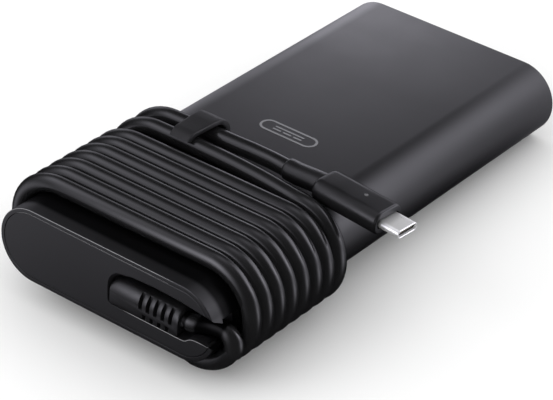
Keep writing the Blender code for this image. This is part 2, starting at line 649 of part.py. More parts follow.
def build_contacts(name, bottom, top):
    """Twelve contacts joined by a carrier bar at the back, in millimetres."""
    count, pitch, half_width = 12, 0.5, 0.13
    bar_half, bar_back, root, tip = 2.95, -5.9, -5.4, -1.2
    outline = [(-bar_half, bar_back)]
    for k in range(count):
        x = (k - (count - 1) / 2) * pitch
        left, right = x - half_width, x + half_width
        outline += [(left, root), (left, tip), (right, tip), (right, root)]
    outline += [(bar_half, bar_back)]
    # the frame's Z points down, so the heights change sign
    contacts = framed_prism(name, [(x * REAL, y * REAL) for x, y in outline], COMB_FRAME,
                            -top * REAL, -bottom * REAL)
    finish(contacts, "contacts")


def build_plug_board():
    size = (7.2 * REAL, 7.4 * REAL, 0.8 * REAL)
    board = box("plug_board", plug_point(-18.0 * REAL), size, turn=PLUG_TURN)
    finish(board, "circuit board")


def build_plug():
    build_boot()
    build_overmould()
    build_light()
    build_hollow_bar("plug_shell", "cut_shell", 8.3, 2.45, 1.22, 6, wall=0.3,
                     span=(-14.0, 0.0), cut_span=(-15.0, 1.0), key="plug shell")
    build_tongue()
    build_contacts("plug_contacts_upper", 0.32, 0.44)
    build_contacts("plug_contacts_lower", -0.44, -0.32)
    build_plug_board()
    build_hollow_bar("plug_shield", "cut_shield", 9.1, 3.6, 1.2, 3, wall=0.25,
                     span=(-21.9, -9.9), cut_span=(-23.0, -9.0), key="shield")
    # the whole plug turns about the ball end of the lead
    for ob in PARTS.objects:
        if ob.name.startswith("plug_"):
            move_origin(ob, BEND_AT)


build_sleeve()
build_front_cap()
build_rear_cap()
build_inlet()
build_label()
build_mark()
build_inside()
build_exit_sleeve()
build_cable()
build_lead()
build_strap()
build_plug()
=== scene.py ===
"""Laptop power adapter with its cable wound round it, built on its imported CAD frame.

The housing lies along Y: the end with the cable exit is the front, at -Y, and the mains inlet is
at the rear, +Y. Right is +X, the underside is z = 0 and the top is z = HEIGHT. The cable winds
round the front half; its free end passes through a strap and carries the plug to the right.

Lengths are in drawing units of 1.12 mm unless noted. Parts of standard size (plug shell,
contacts, inlet pins) are in millimetres times MM. Materials and the stage work in metres.
"""
from math import sin, cos, pi, radians, atan2

import bpy
import bmesh
import numpy as np
from mathutils import Matrix, Vector


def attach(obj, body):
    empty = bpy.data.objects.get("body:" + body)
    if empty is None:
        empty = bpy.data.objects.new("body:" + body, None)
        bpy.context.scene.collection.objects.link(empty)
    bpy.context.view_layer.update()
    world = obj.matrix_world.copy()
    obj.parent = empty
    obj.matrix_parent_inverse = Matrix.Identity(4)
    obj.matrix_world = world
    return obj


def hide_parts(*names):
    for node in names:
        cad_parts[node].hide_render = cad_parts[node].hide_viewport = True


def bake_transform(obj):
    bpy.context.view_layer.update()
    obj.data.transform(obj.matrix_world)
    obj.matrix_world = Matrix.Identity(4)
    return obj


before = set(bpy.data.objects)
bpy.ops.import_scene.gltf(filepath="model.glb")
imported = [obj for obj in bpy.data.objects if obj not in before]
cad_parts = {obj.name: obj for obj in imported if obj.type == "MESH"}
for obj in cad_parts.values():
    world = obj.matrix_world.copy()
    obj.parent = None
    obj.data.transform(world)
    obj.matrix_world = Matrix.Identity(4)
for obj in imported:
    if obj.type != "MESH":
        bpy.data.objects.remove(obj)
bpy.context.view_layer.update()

UNIT = 0.00112             # metres per drawing unit
MM = 0.001 / UNIT          # drawing units per millimetre
COLLECTION = bpy.context.scene.collection

# ------------------------------------------------------------------ driving dimensions
HALF_W, HALF_L, HEIGHT = 33.0, 70.0, 20.0
MID_Z = HEIGHT / 2
CORNER_R = MID_Z           # the housing's sides are full half rounds
FLAT_X = HALF_W - CORNER_R
WALL = 2.0                 # wall thickness of the housing
RIM = 1.1                  # wall thickness at its two ends
SHOULDER = 1.45            # depth of the thinner wall at each end
CABLE_R = 2.29
LEAD_Z = 22.55             # height of the cable's centre line at the strap
BEND_AT = Vector((11.5, -18.09, 23.25))    # where the lead turns towards the plug
NOSE = Vector((50.45, -21.16, 23.55))      # tip of the plug
NOSE_LIFT = 0.3            # height of the nose above the bend
PLUG_RISE = 0.9            # how much higher the plug's axis is at its far end


# ------------------------------------------------------------------ shader graphs
class Graph:
    """Shader tree of a material, with short calls for the nodes used here."""

    def __init__(self, material):
        material.use_nodes = True
        self.material = material
        self.tree = material.node_tree
        self.bsdf = self.tree.nodes["Principled BSDF"]
        self.coord = None

    def new(self, kind, **settings):
        node = self.tree.nodes.new(kind)
        for key, value in settings.items():
            setattr(node, key, value)
        return node

    def feed(self, socket, value):
        """Links an output, or sets a plain value."""
        if hasattr(value, "links"):
            self.tree.links.new(value, socket)
        else:
            socket.default_value = value

    def set(self, **values):
        """Feeds inputs of the Principled shader; underscores stand for spaces."""
        for key, value in values.items():
            self.feed(self.bsdf.inputs[key.replace("_", " ")], value)

    def object_coord(self):
        if self.coord is None:
            self.coord = self.new("ShaderNodeTexCoord")
        return self.coord.outputs["Object"]

    def math(self, operation, *values):
        node = self.new("ShaderNodeMath", operation=operation)
        for socket, value in zip(node.inputs, values):
            self.feed(socket, value)
        return node.outputs[0]

    def vector_math(self, operation, *values):
        node = self.new("ShaderNodeVectorMath", operation=operation)
        for socket, value in zip(node.inputs, values):
            self.feed(socket, value)
        return node

    def noise(self, scale, detail=2.0, rough=0.5, stretch=None):
        node = self.new("ShaderNodeTexNoise")
        node.inputs["Scale"].default_value = scale
        node.inputs["Detail"].default_value = detail
        node.inputs["Roughness"].default_value = rough
        vector = self.object_coord()
        if stretch:
            mapping = self.new("ShaderNodeMapping")
            mapping.inputs["Scale"].default_value = stretch
            self.feed(mapping.inputs["Vector"], vector)
            vector = mapping.outputs["Vector"]
        self.feed(node.inputs["Vector"], vector)
        return node.outputs["Fac"]

    def ramp(self, value, to_min, to_max, from_min=0.3, from_max=0.7, kind="LINEAR"):
        node = self.new("ShaderNodeMapRange", interpolation_type=kind)
        node.inputs["From Min"].default_value = from_min
        node.inputs["From Max"].default_value = from_max
        node.inputs["To Min"].default_value = to_min
        node.inputs["To Max"].default_value = to_max
        self.feed(node.inputs["Value"], value)
        return node.outputs["Result"]

    def mix(self, factor, first, second):
        node = self.new("ShaderNodeMix", data_type="RGBA")
        self.feed(node.inputs["Factor"], factor)
        for name, value in (("A", first), ("B", second)):
            socket = [i for i in node.inputs if i.name == name and i.type == "RGBA"][0]
            self.feed(socket, value if hasattr(value, "links") else (*value, 1))
        return [o for o in node.outputs if o.type == "RGBA"][0]

    def bump(self, height, distance, strength):
        node = self.new("ShaderNodeBump")
        node.inputs["Distance"].default_value = distance
        node.inputs["Strength"].default_value = strength
        self.feed(node.inputs["Height"], height)
        return node.outputs["Normal"]


def new_graph(name):
    return Graph(bpy.data.materials.new(name))


def shade(colour, factor):
    return tuple(max(0.0, min(1.0, c * factor)) for c in colour)


# ------------------------------------------------------------------ kinds of material
def plastic(name, colour, rough, grain, depth, colour_var=0.10, rough_var=0.05, strength=0.35,
            coat=0.0, blotch=60.0):
    """Moulded plastic or elastomer: fine grain, slow colour drift, uneven gloss."""
    g = new_graph(name)
    big = g.noise(blotch, detail=3.0, rough=0.55)
    fine = g.noise(grain, detail=3.0, rough=0.6)
    fine_var = rough_var * 0.6
    g.set(Base_Color=g.mix(g.ramp(big, 0.0, 1.0),
                           shade(colour, 1 - colour_var), shade(colour, 1 + colour_var)),
          Roughness=g.math("ADD", g.ramp(big, rough - rough_var, rough + rough_var),
                           g.ramp(fine, -fine_var, fine_var)),
          Normal=g.bump(fine, depth, strength),
          IOR=1.5)
    if coat:
        g.set(Coat_Weight=coat, Coat_Roughness=0.15)
    return g.material


def metal(name, colour, rough, stretch, scale=900.0, colour_var=0.08, rough_var=0.06,
          metallic=1.0):
    """Plated or rolled metal with fine directional marks."""
    g = new_graph(name)
    big = g.noise(120.0, detail=3.0, rough=0.5)
    fine = g.noise(scale, detail=4.0, rough=0.6, stretch=stretch)
    g.set(Metallic=metallic,
          Base_Color=g.mix(g.ramp(big, 0, 1),
                           shade(colour, 1 - colour_var), shade(colour, 1 + colour_var * 0.5)),
          Roughness=g.ramp(fine, rough - rough_var, rough + rough_var),
          Normal=g.bump(fine, distance=0.00001, strength=0.3))
    return g.material


def winding(name, dark, light, pitch, axis, rough, metallic):
    """Wound wire: dark and light bands across one axis, with raised turns."""
    g = new_graph(name)
    wave = g.new("ShaderNodeTexWave", wave_type="BANDS", bands_direction=axis)
    wave.inputs["Scale"].default_value = 0.314 / (pitch * UNIT)    # one band per pitch
    wave.inputs["Distortion"].default_value = 0.4
    wave.inputs["Detail"].default_value = 1.0
    g.feed(wave.inputs["Vector"], g.object_coord())
    turns = wave.outputs["Fac"]
    g.set(Base_Color=g.mix(turns, dark, light), Roughness=rough, Metallic=metallic,
          Normal=g.bump(turns, distance=0.0002, strength=0.8))
    return g.material


def board(name):
    """Circuit board: solder mask with paler, raised tracks."""
    g = new_graph(name)
    cells = g.new("ShaderNodeTexVoronoi", feature="DISTANCE_TO_EDGE")
    cells.inputs["Scale"].default_value = 220.0
    g.feed(cells.inputs["Vector"], g.object_coord())
    tracks = g.ramp(cells.outputs["Distance"], 1.0, 0.0, from_min=0.04, from_max=0.07)
    mask = g.mix(g.ramp(g.noise(90.0, detail=3.0), 0, 1), (0.02, 0.10, 0.045), (0.03, 0.15, 0.065))
    g.set(Base_Color=g.mix(tracks, mask, (0.06, 0.24, 0.10)), Roughness=0.35,
          Normal=g.bump(tracks, distance=0.00005, strength=0.5))
    return g.material


def shade_bands(material, bands, floor):
    """Paints shade into recesses and under parts: dims gloss and colour there, down to floor.

    Each band lists (axis, lo0, lo1, hi0, hi1) in drawing units: full effect between lo1 and hi0,
    none below lo0 or above hi1, all entries multiplied together.
    """
    g = Graph(material)
    split = g.new("ShaderNodeSeparateXYZ")
    g.feed(split.inputs[0], g.object_coord())

    def step(axis, start, end):
        return g.ramp(split.outputs[axis], 0.0, 1.0, start * UNIT, end * UNIT, "SMOOTHSTEP")

    keep = None
    for band in bands:
        inside = None
        for axis, lo0, lo1, hi0, hi1 in band:
            span = g.math("MULTIPLY", step(axis, lo0, lo1),
                          g.math("SUBTRACT", 1.0, step(axis, hi0, hi1)))
            inside = span if inside is None else g.math("MULTIPLY", inside, span)
        left = g.math("SUBTRACT", 1.0, g.math("MULTIPLY", inside, 1.0 - floor))
        keep = left if keep is None else g.math("MULTIPLY", keep, left)
    dimmed = g.new("ShaderNodeVectorMath", operation="SCALE")
    g.feed(dimmed.inputs[0], g.bsdf.inputs["Base Color"].links[0].from_socket)
    g.feed(dimmed.inputs["Scale"], keep)
    g.set(Base_Color=dimmed.outputs[0], Specular_IOR_Level=g.math("MULTIPLY", keep, 0.5))


def soft_rim(material, loss=0.72, start=0.50, end=0.92):
    """Weaker reflection at grazing angles, as on a finely textured elastomer."""
    g = Graph(material)
    facing = g.new("ShaderNodeLayerWeight").outputs["Facing"]
    fade = g.ramp(facing, 1.0, 1.0 - loss, start, end, "SMOOTHSTEP")
    links = g.bsdf.inputs["Specular IOR Level"].links
    level = links[0].from_socket if links else 0.5
    g.set(Specular_IOR_Level=g.math("MULTIPLY", fade, level))


# ------------------------------------------------------------------ outer materials
# name, colour, roughness, grain scale, grain depth (m),
# colour drift, roughness drift, bump strength, coat, blotch scale
OUTER_PLASTICS = (
    ("housing_matte", (0.0058, 0.0057, 0.0062), 0.37, 3000.0, 0.000025,
     0.05, 0.03, 0.30, 0.0, 60.0),
    ("end_cap_matte", (0.0058, 0.0057, 0.0062), 0.45, 3000.0, 0.000025,
     0.05, 0.03, 0.30, 0.0, 60.0),
    ("cable_jacket", (0.0088, 0.0087, 0.0093), 0.20, 2200.0, 0.000012,
     0.10, 0.02, 0.10, 0.0, 140.0),
    ("strain_relief_elastomer", (0.0052, 0.0051, 0.0055), 0.38, 2400.0, 0.00003,
     0.10, 0.05, 0.30, 0.0, 180.0),
    ("strap_rubber", (0.0065, 0.0064, 0.0068), 0.55, 1900.0, 0.00004,
     0.12, 0.05, 0.45, 0.0, 220.0),
    ("plug_overmould", (0.0055, 0.0054, 0.0059), 0.38, 2600.0, 0.00003,
     0.08, 0.04, 0.30, 0.0, 160.0),
    ("inlet_moulding", (0.0060, 0.0060, 0.0064), 0.38, 1800.0, 0.00003,
     0.08, 0.05, 0.30, 0.0, 60.0),
    ("label_film", (0.045, 0.045, 0.048), 0.33, 900.0, 0.00002, 0.06, 0.05, 0.2, 0.0, 90.0),
    ("label_print", (0.42, 0.42, 0.43), 0.45, 1500.0, 0.00001, 0.05, 0.04, 0.2, 0.0, 60.0),
    ("top_mark_print", (0.16, 0.16, 0.17), 0.22, 1500.0, 0.00001, 0.05, 0.04, 0.2, 0.0, 60.0),
    # painted highlight: bright grey for the thin lines along the front edges
    ("painted_edge_highlight", (0.30, 0.30, 0.31), 0.35, 1500.0, 0.00001, 0.05, 0.04, 0.1, 0.0, 60.0),
    ("light_lens", (0.10, 0.10, 0.105), 0.25, 1500.0, 0.00001, 0.05, 0.04, 0.1, 0.5, 60.0),
)
(HOUSING, CAP, JACKET, RELIEF, STRAP, PLUG, INLET,
 LABEL, PRINT, MARK, EDGE, LENS) = [plastic(*row) for row in OUTER_PLASTICS]
NICKEL = metal("plug_shell_nickel", (0.90, 0.90, 0.90), rough=0.30, stretch=(1, 3, 3),
               scale=300.0, colour_var=0.03, rough_var=0.03, metallic=0.62)
GOLD = metal("contact_gold", (0.88, 0.80, 0.66), rough=0.22, stretch=(1, 8, 8), metallic=0.5)

# painted shade under the windings, and on the right-hand side of the cable channel
shade_bands(HOUSING, floor=0.16, bands=[
    [("Y", -67.3, -65.7, -23.0, -20.5)],
    [("X", 30.8, 31.4, 40.0, 41.0), ("Z", -1.0, -0.5, 7.2, 7.7), ("Y", -69.9, -69.6, -60.0, -59.0)],
])
# painted shade on the cable just past the exit strain relief, and further along the channel
shade_bands(JACKET, floor=0.10, bands=[
    [("X", *x_span), ("Y", -69.0, -68.9, -62.6, -62.2), ("Z", 4.0, 4.5, 14.0, 15.0)]
    for x_span in ((21.6, 21.9, 23.0, 23.6), (24.9, 25.9, 32.0, 33.4))
])
# painted shade on the plug's shell near the overmould
shade_bands(NICKEL, floor=0.42, bands=[[("X", 40.0, 41.0, 44.4, 47.8)]])
soft_rim(JACKET, loss=0.998, start=0.42, end=0.80)
soft_rim(PLUG, loss=0.99, start=0.44, end=0.84)
soft_rim(RELIEF)
soft_rim(STRAP)


# ------------------------------------------------------------------ mesh helpers
def smooth(piece, angle=35.0):
    mesh = piece.data
    mesh.polygons.foreach_set("use_smooth", [True] * len(mesh.polygons))
    mesh.set_sharp_from_angle(angle=radians(angle))
    mesh.update()


def make_object(name, verts, faces, material, sharp=35.0):
    """Object from vertices in drawing units."""
    mesh = bpy.data.meshes.new(name)
    mesh.from_pydata([tuple(Vector(v) * UNIT) for v in verts], [], faces)
    bm = bmesh.new()
    bm.from_mesh(mesh)
    bmesh.ops.remove_doubles(bm, verts=bm.verts, dist=1e-8)
    bmesh.ops.recalc_face_normals(bm, faces=bm.faces)
    bm.to_mesh(mesh)
    bm.free()
    mesh.materials.append(material)
    piece = bpy.data.objects.new(name, mesh)
    COLLECTION.objects.link(piece)
    smooth(piece, sharp)
    return piece


def loft(name, rings, material, loop=False, sharp=35.0):
    """Skin over equal closed rings, with end faces; loop joins the last ring to the first."""
    size, count = len(rings[0]), len(rings)
    faces = []
    for i in range(count if loop else count - 1):
        a, b = i * size, ((i + 1) % count) * size
        for k in range(size):
            faces.append((a + k, a + (k + 1) % size, b + (k + 1) % size, b + k))
    if not loop:
        faces.append(tuple(range(size)))
        faces.append(tuple((count - 1) * size + k for k in range(size)))
    return make_object(name, [p for ring in rings for p in ring], faces, material, sharp)


def sweep(name, path, radius, material, sides=32):
    """Round bar along a path; radius is a number or a list of one radius per point."""
    points = np.array([tuple(p) for p in path], float)
    tangents = np.gradient(points, axis=0)
    tangents /= np.linalg.norm(tangents, axis=1)[:, None]
    across = np.array([0.0, 0.0, 1.0])
    if abs(tangents[0] @ across) > 0.9:
        across = np.array([0.0, 1.0, 0.0])
    across = across - tangents[0] * (across @ tangents[0])
    across /= np.linalg.norm(across)
    rings = []
    for i, (point, tangent) in enumerate(zip(points, tangents)):
        across = across - tangent * (across @ tangent)
        across /= np.linalg.norm(across)
        side = np.cross(tangent, across)
        r = radius[i] if hasattr(radius, "__len__") else radius
        turn = [2 * pi * k / sides for k in range(sides)]
        rings.append([point + r * (cos(a) * across + sin(a) * side) for a in turn])
    return loft(name, rings, material, sharp=60.0)


def stadium(inset, y):
    """Housing section, drawn in by inset, at a place along Y."""
    r, steps = CORNER_R - inset, 40
    turn = [pi * k / steps for k in range(steps + 1)]
    right = [(FLAT_X + r * sin(a), y, MID_Z + r * cos(a)) for a in turn]
    return right + [(-FLAT_X - r * sin(a), y, MID_Z - r * cos(a)) for a in turn]


def round_rect(width, height, radius, steps, cx=0.0, cy=0.0):
    points = []
    for sx, sy, start in ((1, 1, 0), (-1, 1, 90), (-1, -1, 180), (1, -1, 270)):
        for k in range(steps + 1):
            a = radians(start + 90 * k / steps)
            points.append((cx + sx * (width / 2 - radius) + radius * cos(a),
                           cy + sy * (height / 2 - radius) + radius * sin(a)))
    return points


def arc_points(cx, cy, r, start, end, steps):
    """Points on an arc between two angles in degrees, both ends included."""
    angles = [radians(start + (end - start) * k / steps) for k in range(steps + 1)]
    return [(cx + r * cos(a), cy + r * sin(a)) for a in angles]


def catmull(points, step=0.8):
    """Smooth curve through points, cut into lengths of about one step."""
    P = [Vector(p) for p in points]
    P = [P[0] * 2 - P[1]] + P + [P[-1] * 2 - P[-2]]
    out = []
    for i in range(1, len(P) - 2):
        p0, p1, p2, p3 = P[i - 1:i + 3]
        n = max(2, int((p2 - p1).length / step))
        for k in range(n):
            t = k / n
            out.append(tuple(0.5 * ((2 * p1) + (p2 - p0) * t
                                    + (2 * p0 - 5 * p1 + 4 * p2 - p3) * t * t
                                    + (3 * p1 - p0 - 3 * p2 + p3) * t * t * t)))
    out.append(tuple(P[-2]))
    return out


def prism_y(name, outline, y0, y1, material):
    """Outline of (x, z) pairs between two places on Y."""
    return loft(name, [[(x, y, z) for x, z in outline] for y in (y0, y1)], material)


def cylinder_y(name, x, z, r, y0, y1, sides, material):
    turn = [2 * pi * k / sides for k in range(sides)]
    return prism_y(name, [(x + r * cos(a), z + r * sin(a)) for a in turn], y0, y1, material)


def block(name, lo, hi, material):
    (x0, y0, z0), (x1, y1, z1) = lo, hi
    return loft(name, [[(x0, y0, z), (x1, y0, z), (x1, y1, z), (x0, y1, z)] for z in (z0, z1)],
                material)


def flat_shape(name, outer, z0, z1, material, inner=None):
    """Flat plate from an (x, y) outline, or a flat frame where there is an inner outline."""
    def level(outline, z):
        return [(x, y, z) for x, y in outline]

    if inner:
        rings = [level(outer, z1), level(outer, z0), level(inner, z0), level(inner, z1)]
        return loft(name, rings, material, loop=True)
    return loft(name, [level(outer, z0), level(outer, z1)], material)


def apply_modifiers(piece, sharp):
    bpy.context.view_layer.update()
    graph = bpy.context.evaluated_depsgraph_get()
    mesh = bpy.data.meshes.new_from_object(piece.evaluated_get(graph))
    piece.modifiers.clear()
    piece.data = mesh
    smooth(piece, sharp)


def soften(piece, width, segments, sharp, angle):
    """Bevels every edge sharper than angle, after merging flat faces."""
    bm = bmesh.new()
    bm.from_mesh(piece.data)
    bmesh.ops.remove_doubles(bm, verts=bm.verts, dist=2e-6)
    bmesh.ops.dissolve_limit(bm, angle_limit=radians(0.5), verts=bm.verts, edges=bm.edges)
    bm.to_mesh(piece.data)
    bm.free()
    bevel = piece.modifiers.new("bevel", "BEVEL")
    bevel.width = width * UNIT
    bevel.segments = segments
    bevel.limit_method = "ANGLE"
    bevel.angle_limit = radians(angle)
    bevel.use_clamp_overlap = True
    apply_modifiers(piece, sharp)


def cut(piece, tools, operation="DIFFERENCE", sharp=40, keep=False,
        bevel=0.0, segments=3, angle=60):
    """Cuts tools out of a piece, or joins them to it, then bevels it if asked."""
    for tool in tools:
        boolean = piece.modifiers.new("cut", "BOOLEAN")
        boolean.operation = operation
        boolean.solver = "EXACT"
        boolean.object = tool
    apply_modifiers(piece, sharp)
    if not keep:
        for tool in tools:
            bpy.data.objects.remove(tool, do_unlink=True)
    if bevel:
        soften(piece, bevel, segments, sharp, angle)


# ------------------------------------------------------------------ frame helpers
def ride(piece, part, replaced=None):
    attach(piece, part)
    if replaced:
        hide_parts(replaced)


def blend(piece, near, far, start, end):
    """Bakes the piece's transform into its mesh; near, far, start and end are not used."""
    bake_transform(piece)


# ------------------------------------------------------------------ housing sleeve
EDGE_R = 0.22              # rounding of the outer end edges


def housing_profile():
    """(y, inset) pairs round the wall, outside from front to rear, then back along the inside."""
    turn = [radians(90 * k / 5) for k in range(6)]
    points = [(-HALF_L + EDGE_R * (1 - cos(a)), EDGE_R * (1 - sin(a))) for a in turn]
    points += [(-35.0, 0.0), (0.0, 0.0), (35.0, 0.0)]
    points += [(HALF_L - EDGE_R * (1 - sin(a)), EDGE_R * (1 - cos(a))) for a in turn]
    points += [(HALF_L, RIM - 0.05), (HALF_L - 0.05, RIM),
               (HALF_L - SHOULDER, RIM), (HALF_L - SHOULDER, WALL),
               (-HALF_L + SHOULDER, WALL), (-HALF_L + SHOULDER, RIM),
               (-HALF_L + 0.05, RIM), (-HALF_L, RIM - 0.05)]
    return points


# cable channel: y, height of its top, x of its left wall
CHANNEL = (
    (-72.0, 16.1, 0.75), (-70.0, 16.0, 0.8), (-69.6, 15.5, 0.95), (-69.0, 15.15, 1.05),
    (-68.0, 14.7, 1.15), (-66.5, 13.9, 1.4), (-63.3, 13.2, 1.7),
)
# (x, z) of the channel's lower edge, from the right to the left
CHANNEL_BOTTOM = [
    (44.0, 6.75), (31.9, 6.75), (28.5, 6.85), (26.6, 6.7), (25.6, 6.35), (24.9, 5.8),
    (24.2, 5.35), (23.2, 5.2), (14.0, 5.2), (6.0, 5.2),
]


def channel():
    """Solid that cuts the cable channel: open at the front and on the right."""
    corner_r, corner_z = 4.6, 10.2
    rings = []
    for y, top, left in CHANNEL:
        outline = [(left, 7.2), (left, corner_z)]
        for k in range(1, 8):
            a = radians(180 - 90 * k / 8)
            outline.append((left + corner_r + corner_r * cos(a),
                            corner_z + (top - 0.9 - corner_z) * sin(a)))
        outline += [(left + corner_r, top - 0.9), (8.0, top - 0.3), (15.0, top),
                    (22.0, top - 0.2), (26.0, top - 0.6), (33.5, top - 1.5), (44.0, top - 2.3)]
        outline += CHANNEL_BOTTOM
        outline += [(left + 1.2, 5.2), (left + 0.35, 5.55), (left + 0.08, 6.2)]
        rings.append([(x, y, z) for x, z in outline])
    return loft("channel", rings, CAP)


housing = loft("housing_sleeve", [stadium(d, y) for y, d in housing_profile()], HOUSING,
               loop=True, sharp=40)
front_tools = [channel(), block("deep", (23.4, -66.7, 5.6), (40.0, -61.0, 13.6), CAP)]
cut(housing, front_tools, keep=True)
label_recess = flat_shape("label_recess", round_rect(44.3, 72.3, 2.15, 8, 0, 24), -1.0, 0.3, CAP)
cut(housing, [label_recess])
ride(housing, "adapter", "sleeve_housing")

# ------------------------------------------------------------------ end caps
CAP_INSET = 2.2            # inset of the part inside the housing
CAP_EDGE = 0.16            # rounding of the face's edge
ROOT_X, ROOT_Z = 5.6, 8.8  # axis of the exit strain relief's root


def end_cap(name, side, inner_y):
    """Cap with its face at the housing's end; side is -1 at the front and 1 at the rear."""
    shoulder_y, face_inset = HALF_L - SHOULDER, RIM + 0.12
    profile = [(inner_y, CAP_INSET), (side * shoulder_y, CAP_INSET),
               (side * shoulder_y, face_inset)]
    for k in range(5):
        a = radians(90 * k / 4)
        profile.append((side * (HALF_L - CAP_EDGE * (1 - sin(a))),
                        face_inset + CAP_EDGE * (1 - cos(a))))
    return loft(name, [stadium(d, y) for y, d in profile], CAP)


front_cap = end_cap("front_cap", -1, -59.6)
root_hole = cylinder_y("root_hole", ROOT_X, ROOT_Z, 2.95, -64.5, -58.0, 32, CAP)
cut(front_cap, front_tools + [root_hole], bevel=0.22, angle=50)
for face in front_cap.data.polygons:
    if face.normal.y < -0.9995:
        face.use_smooth = False
ride(front_cap, "adapter", "front_end_cap")


# ------------------------------------------------------------------ painted highlights on the front edges
def edge_line(name, points, r):
    """Thin bright line, a painted highlight along an edge, that tapers at both ends."""
    n = len(points)
    radii = [max(0.012, r * min(1.0, (k + 0.5) / 5, (n - k - 0.5) / 5)) for k in range(n)]
    ride(sweep(name, points, radii, EDGE, 10), "adapter")


def rim_path(inset, start, x_end):
    """From the upper left corner, start degrees off the top, along the top edge to x_end."""
    r = CORNER_R - inset
    corner = [(-FLAT_X - r * sin(radians(a)), -HALF_L, MID_Z + r * cos(radians(a)))
              for a in np.linspace(start, 0, 16)]
    return corner + [(x, -HALF_L, MID_Z + r) for x in np.linspace(-FLAT_X, x_end, 40)[1:]]


# (x, z) along the lower lip of the channel
LIP = (
    (5.6, 5.2), (10, 5.2), (16, 5.2), (22.8, 5.2), (24.2, 5.35), (24.9, 5.8), (25.6, 6.35),
    (26.6, 6.7), (28.5, 6.85), (31.3, 6.78),
)
# painted highlights along the rim, the cap joint and the channel's lower lip
edge_line("rim_highlight", rim_path(0.09, 62, 20.5), 0.055)
edge_line("cap_joint_highlight", rim_path(1.14, 40, 19.0), 0.022)
edge_line("lip_highlight", catmull([(x, -HALF_L, z) for x, z in LIP], 0.6), 0.058)

# ------------------------------------------------------------------ rear cap and inlet
rear_cap = end_cap("rear_cap", 1, 66.0)
cut(rear_cap, [
    prism_y("opening", round_rect(20.5, 14.7, 3.3, 8, cy=MID_Z), 60.0, 72.0, CAP),
    prism_y("pocket", round_rect(58.0, 12.6, 6.0, 8, cy=MID_Z), 64.0, 68.2, CAP),
], bevel=0.35)
ride(rear_cap, "adapter", "rear_end_cap")

# a round lobe of the inlet's recess surrounds each pin
LOBE_R, PIN_R = 3.3 * MM, 1.2 * MM
PINS = (                   # x, z of line, neutral and earth
    (-3.5 * MM, MID_Z - 1.9 * MM),
    (3.5 * MM, MID_Z - 1.9 * MM),
    (0.0, MID_Z + 3.2 * MM),
)
inlet = prism_y("inlet_shell", round_rect(20.0, 14.2, 3.0, 8, cy=MID_Z), 57.8, 69.8, INLET)
inlet_tools = [block("web", (-1.96, 61.5, 6.7), (1.96, 70.5, 10.98), INLET)]
for x, z in PINS:
    inlet_tools.append(cylinder_y("lobe", x, z, LOBE_R, 61.5, 70.5, 40, INLET))
    inlet_tools.append(cylinder_y("hole", x, z, PIN_R + 0.1, 55.0, 63.0, 24, INLET))
cut(inlet, inlet_tools, bevel=0.25)
ride(inlet, "adapter", "inlet_body")

# ------------------------------------------------------------------ direct-current sign on the top
MARK_X, MARK_Y = -0.3, -0.9
MARK_Z = (20.005, 20.035)
MARK_BARS = ((-0.3, -0.35, 9.0), (-3.5, -1.55, 2.6), (-0.3, -1.55, 2.6), (2.9, -1.55, 2.6))
outline = flat_shape("top_mark_outline", round_rect(17.2, 5.0, 2.49, 12, MARK_X, MARK_Y),
                     *MARK_Z, MARK, inner=round_rect(15.9, 3.7, 1.84, 12, MARK_X, MARK_Y))
ride(outline, "adapter", "top_mark")
for i, (x, y, length) in enumerate(MARK_BARS):
    bar = round_rect(length, 0.55, 0.26, 4, x, y)
    ride(flat_shape("top_mark_bar_%d" % i, bar, *MARK_Z, MARK), "adapter")

# ------------------------------------------------------------------ underside label, blank fields
LABEL_RULES = (            # centre x, y, width, length
    (0, 55.5, 39, 0.25), (0, 45.0, 39, 0.25), (0, 30.0, 39, 0.25), (0, 14.0, 39, 0.25),
    (-19.4, 34.75, 0.25, 41.4), (19.4, 34.75, 0.25, 41.4), (2, 37.5, 0.25, 14.8),
)
PRINT_Z = (-0.02, 0.02)
ride(flat_shape("underside_label", round_rect(44, 72, 2.0, 8, 0, 24), 0.0, 0.27, LABEL),
     "adapter", "rating_label")
for i, (x, y, width, length) in enumerate(LABEL_RULES):
    rule = round_rect(width, length, min(width, length) * 0.4, 2, x, y)
    ride(flat_shape("label_rule_%d" % i, rule, *PRINT_Z, PRINT), "adapter")
for i, x in enumerate((-14, -6, 2)):
    ring = flat_shape("label_ring_%d" % i, round_rect(5, 5, 2.49, 10, x, 50.2), *PRINT_Z, PRINT,
                      inner=round_rect(4.3, 4.3, 2.14, 10, x, 50.2))
    ride(ring, "adapter")

# ------------------------------------------------------------------ exit strain relief
RELIEF_Y, RELIEF_Z = -66.8, 8.6    # the section shrinks towards here at both ends
relief_section = [(-69.97, 5.45), (-69.97, 8.7)]        # (y, z) pairs
relief_section += arc_points(-66.62, 8.7, 3.35, 180, 90, 12)[1:]
relief_section += [(-64.4, 12.05), (-63.7, 11.4), (-63.7, 5.45)]
RELIEF_STATIONS = (        # x, scale of the section
    (1.45, 0.86), (1.75, 0.93), (2.2, 0.975), (2.9, 1.0), (8, 1.0), (14, 1.0), (20.9, 1.0),
    (21.5, 0.99), (21.85, 0.95), (22.0, 0.88),
)


def relief_ring(x, scale):
    """Section at x, scaled but for its front face, which stays in place along Y."""
    ring = []
    for y, z in relief_section:
        scale_y = 1 if scale > 0.99 or y < -69 else scale
        ring.append((x, RELIEF_Y + (y - RELIEF_Y) * scale_y, RELIEF_Z + (z - RELIEF_Z) * scale))
    return ring


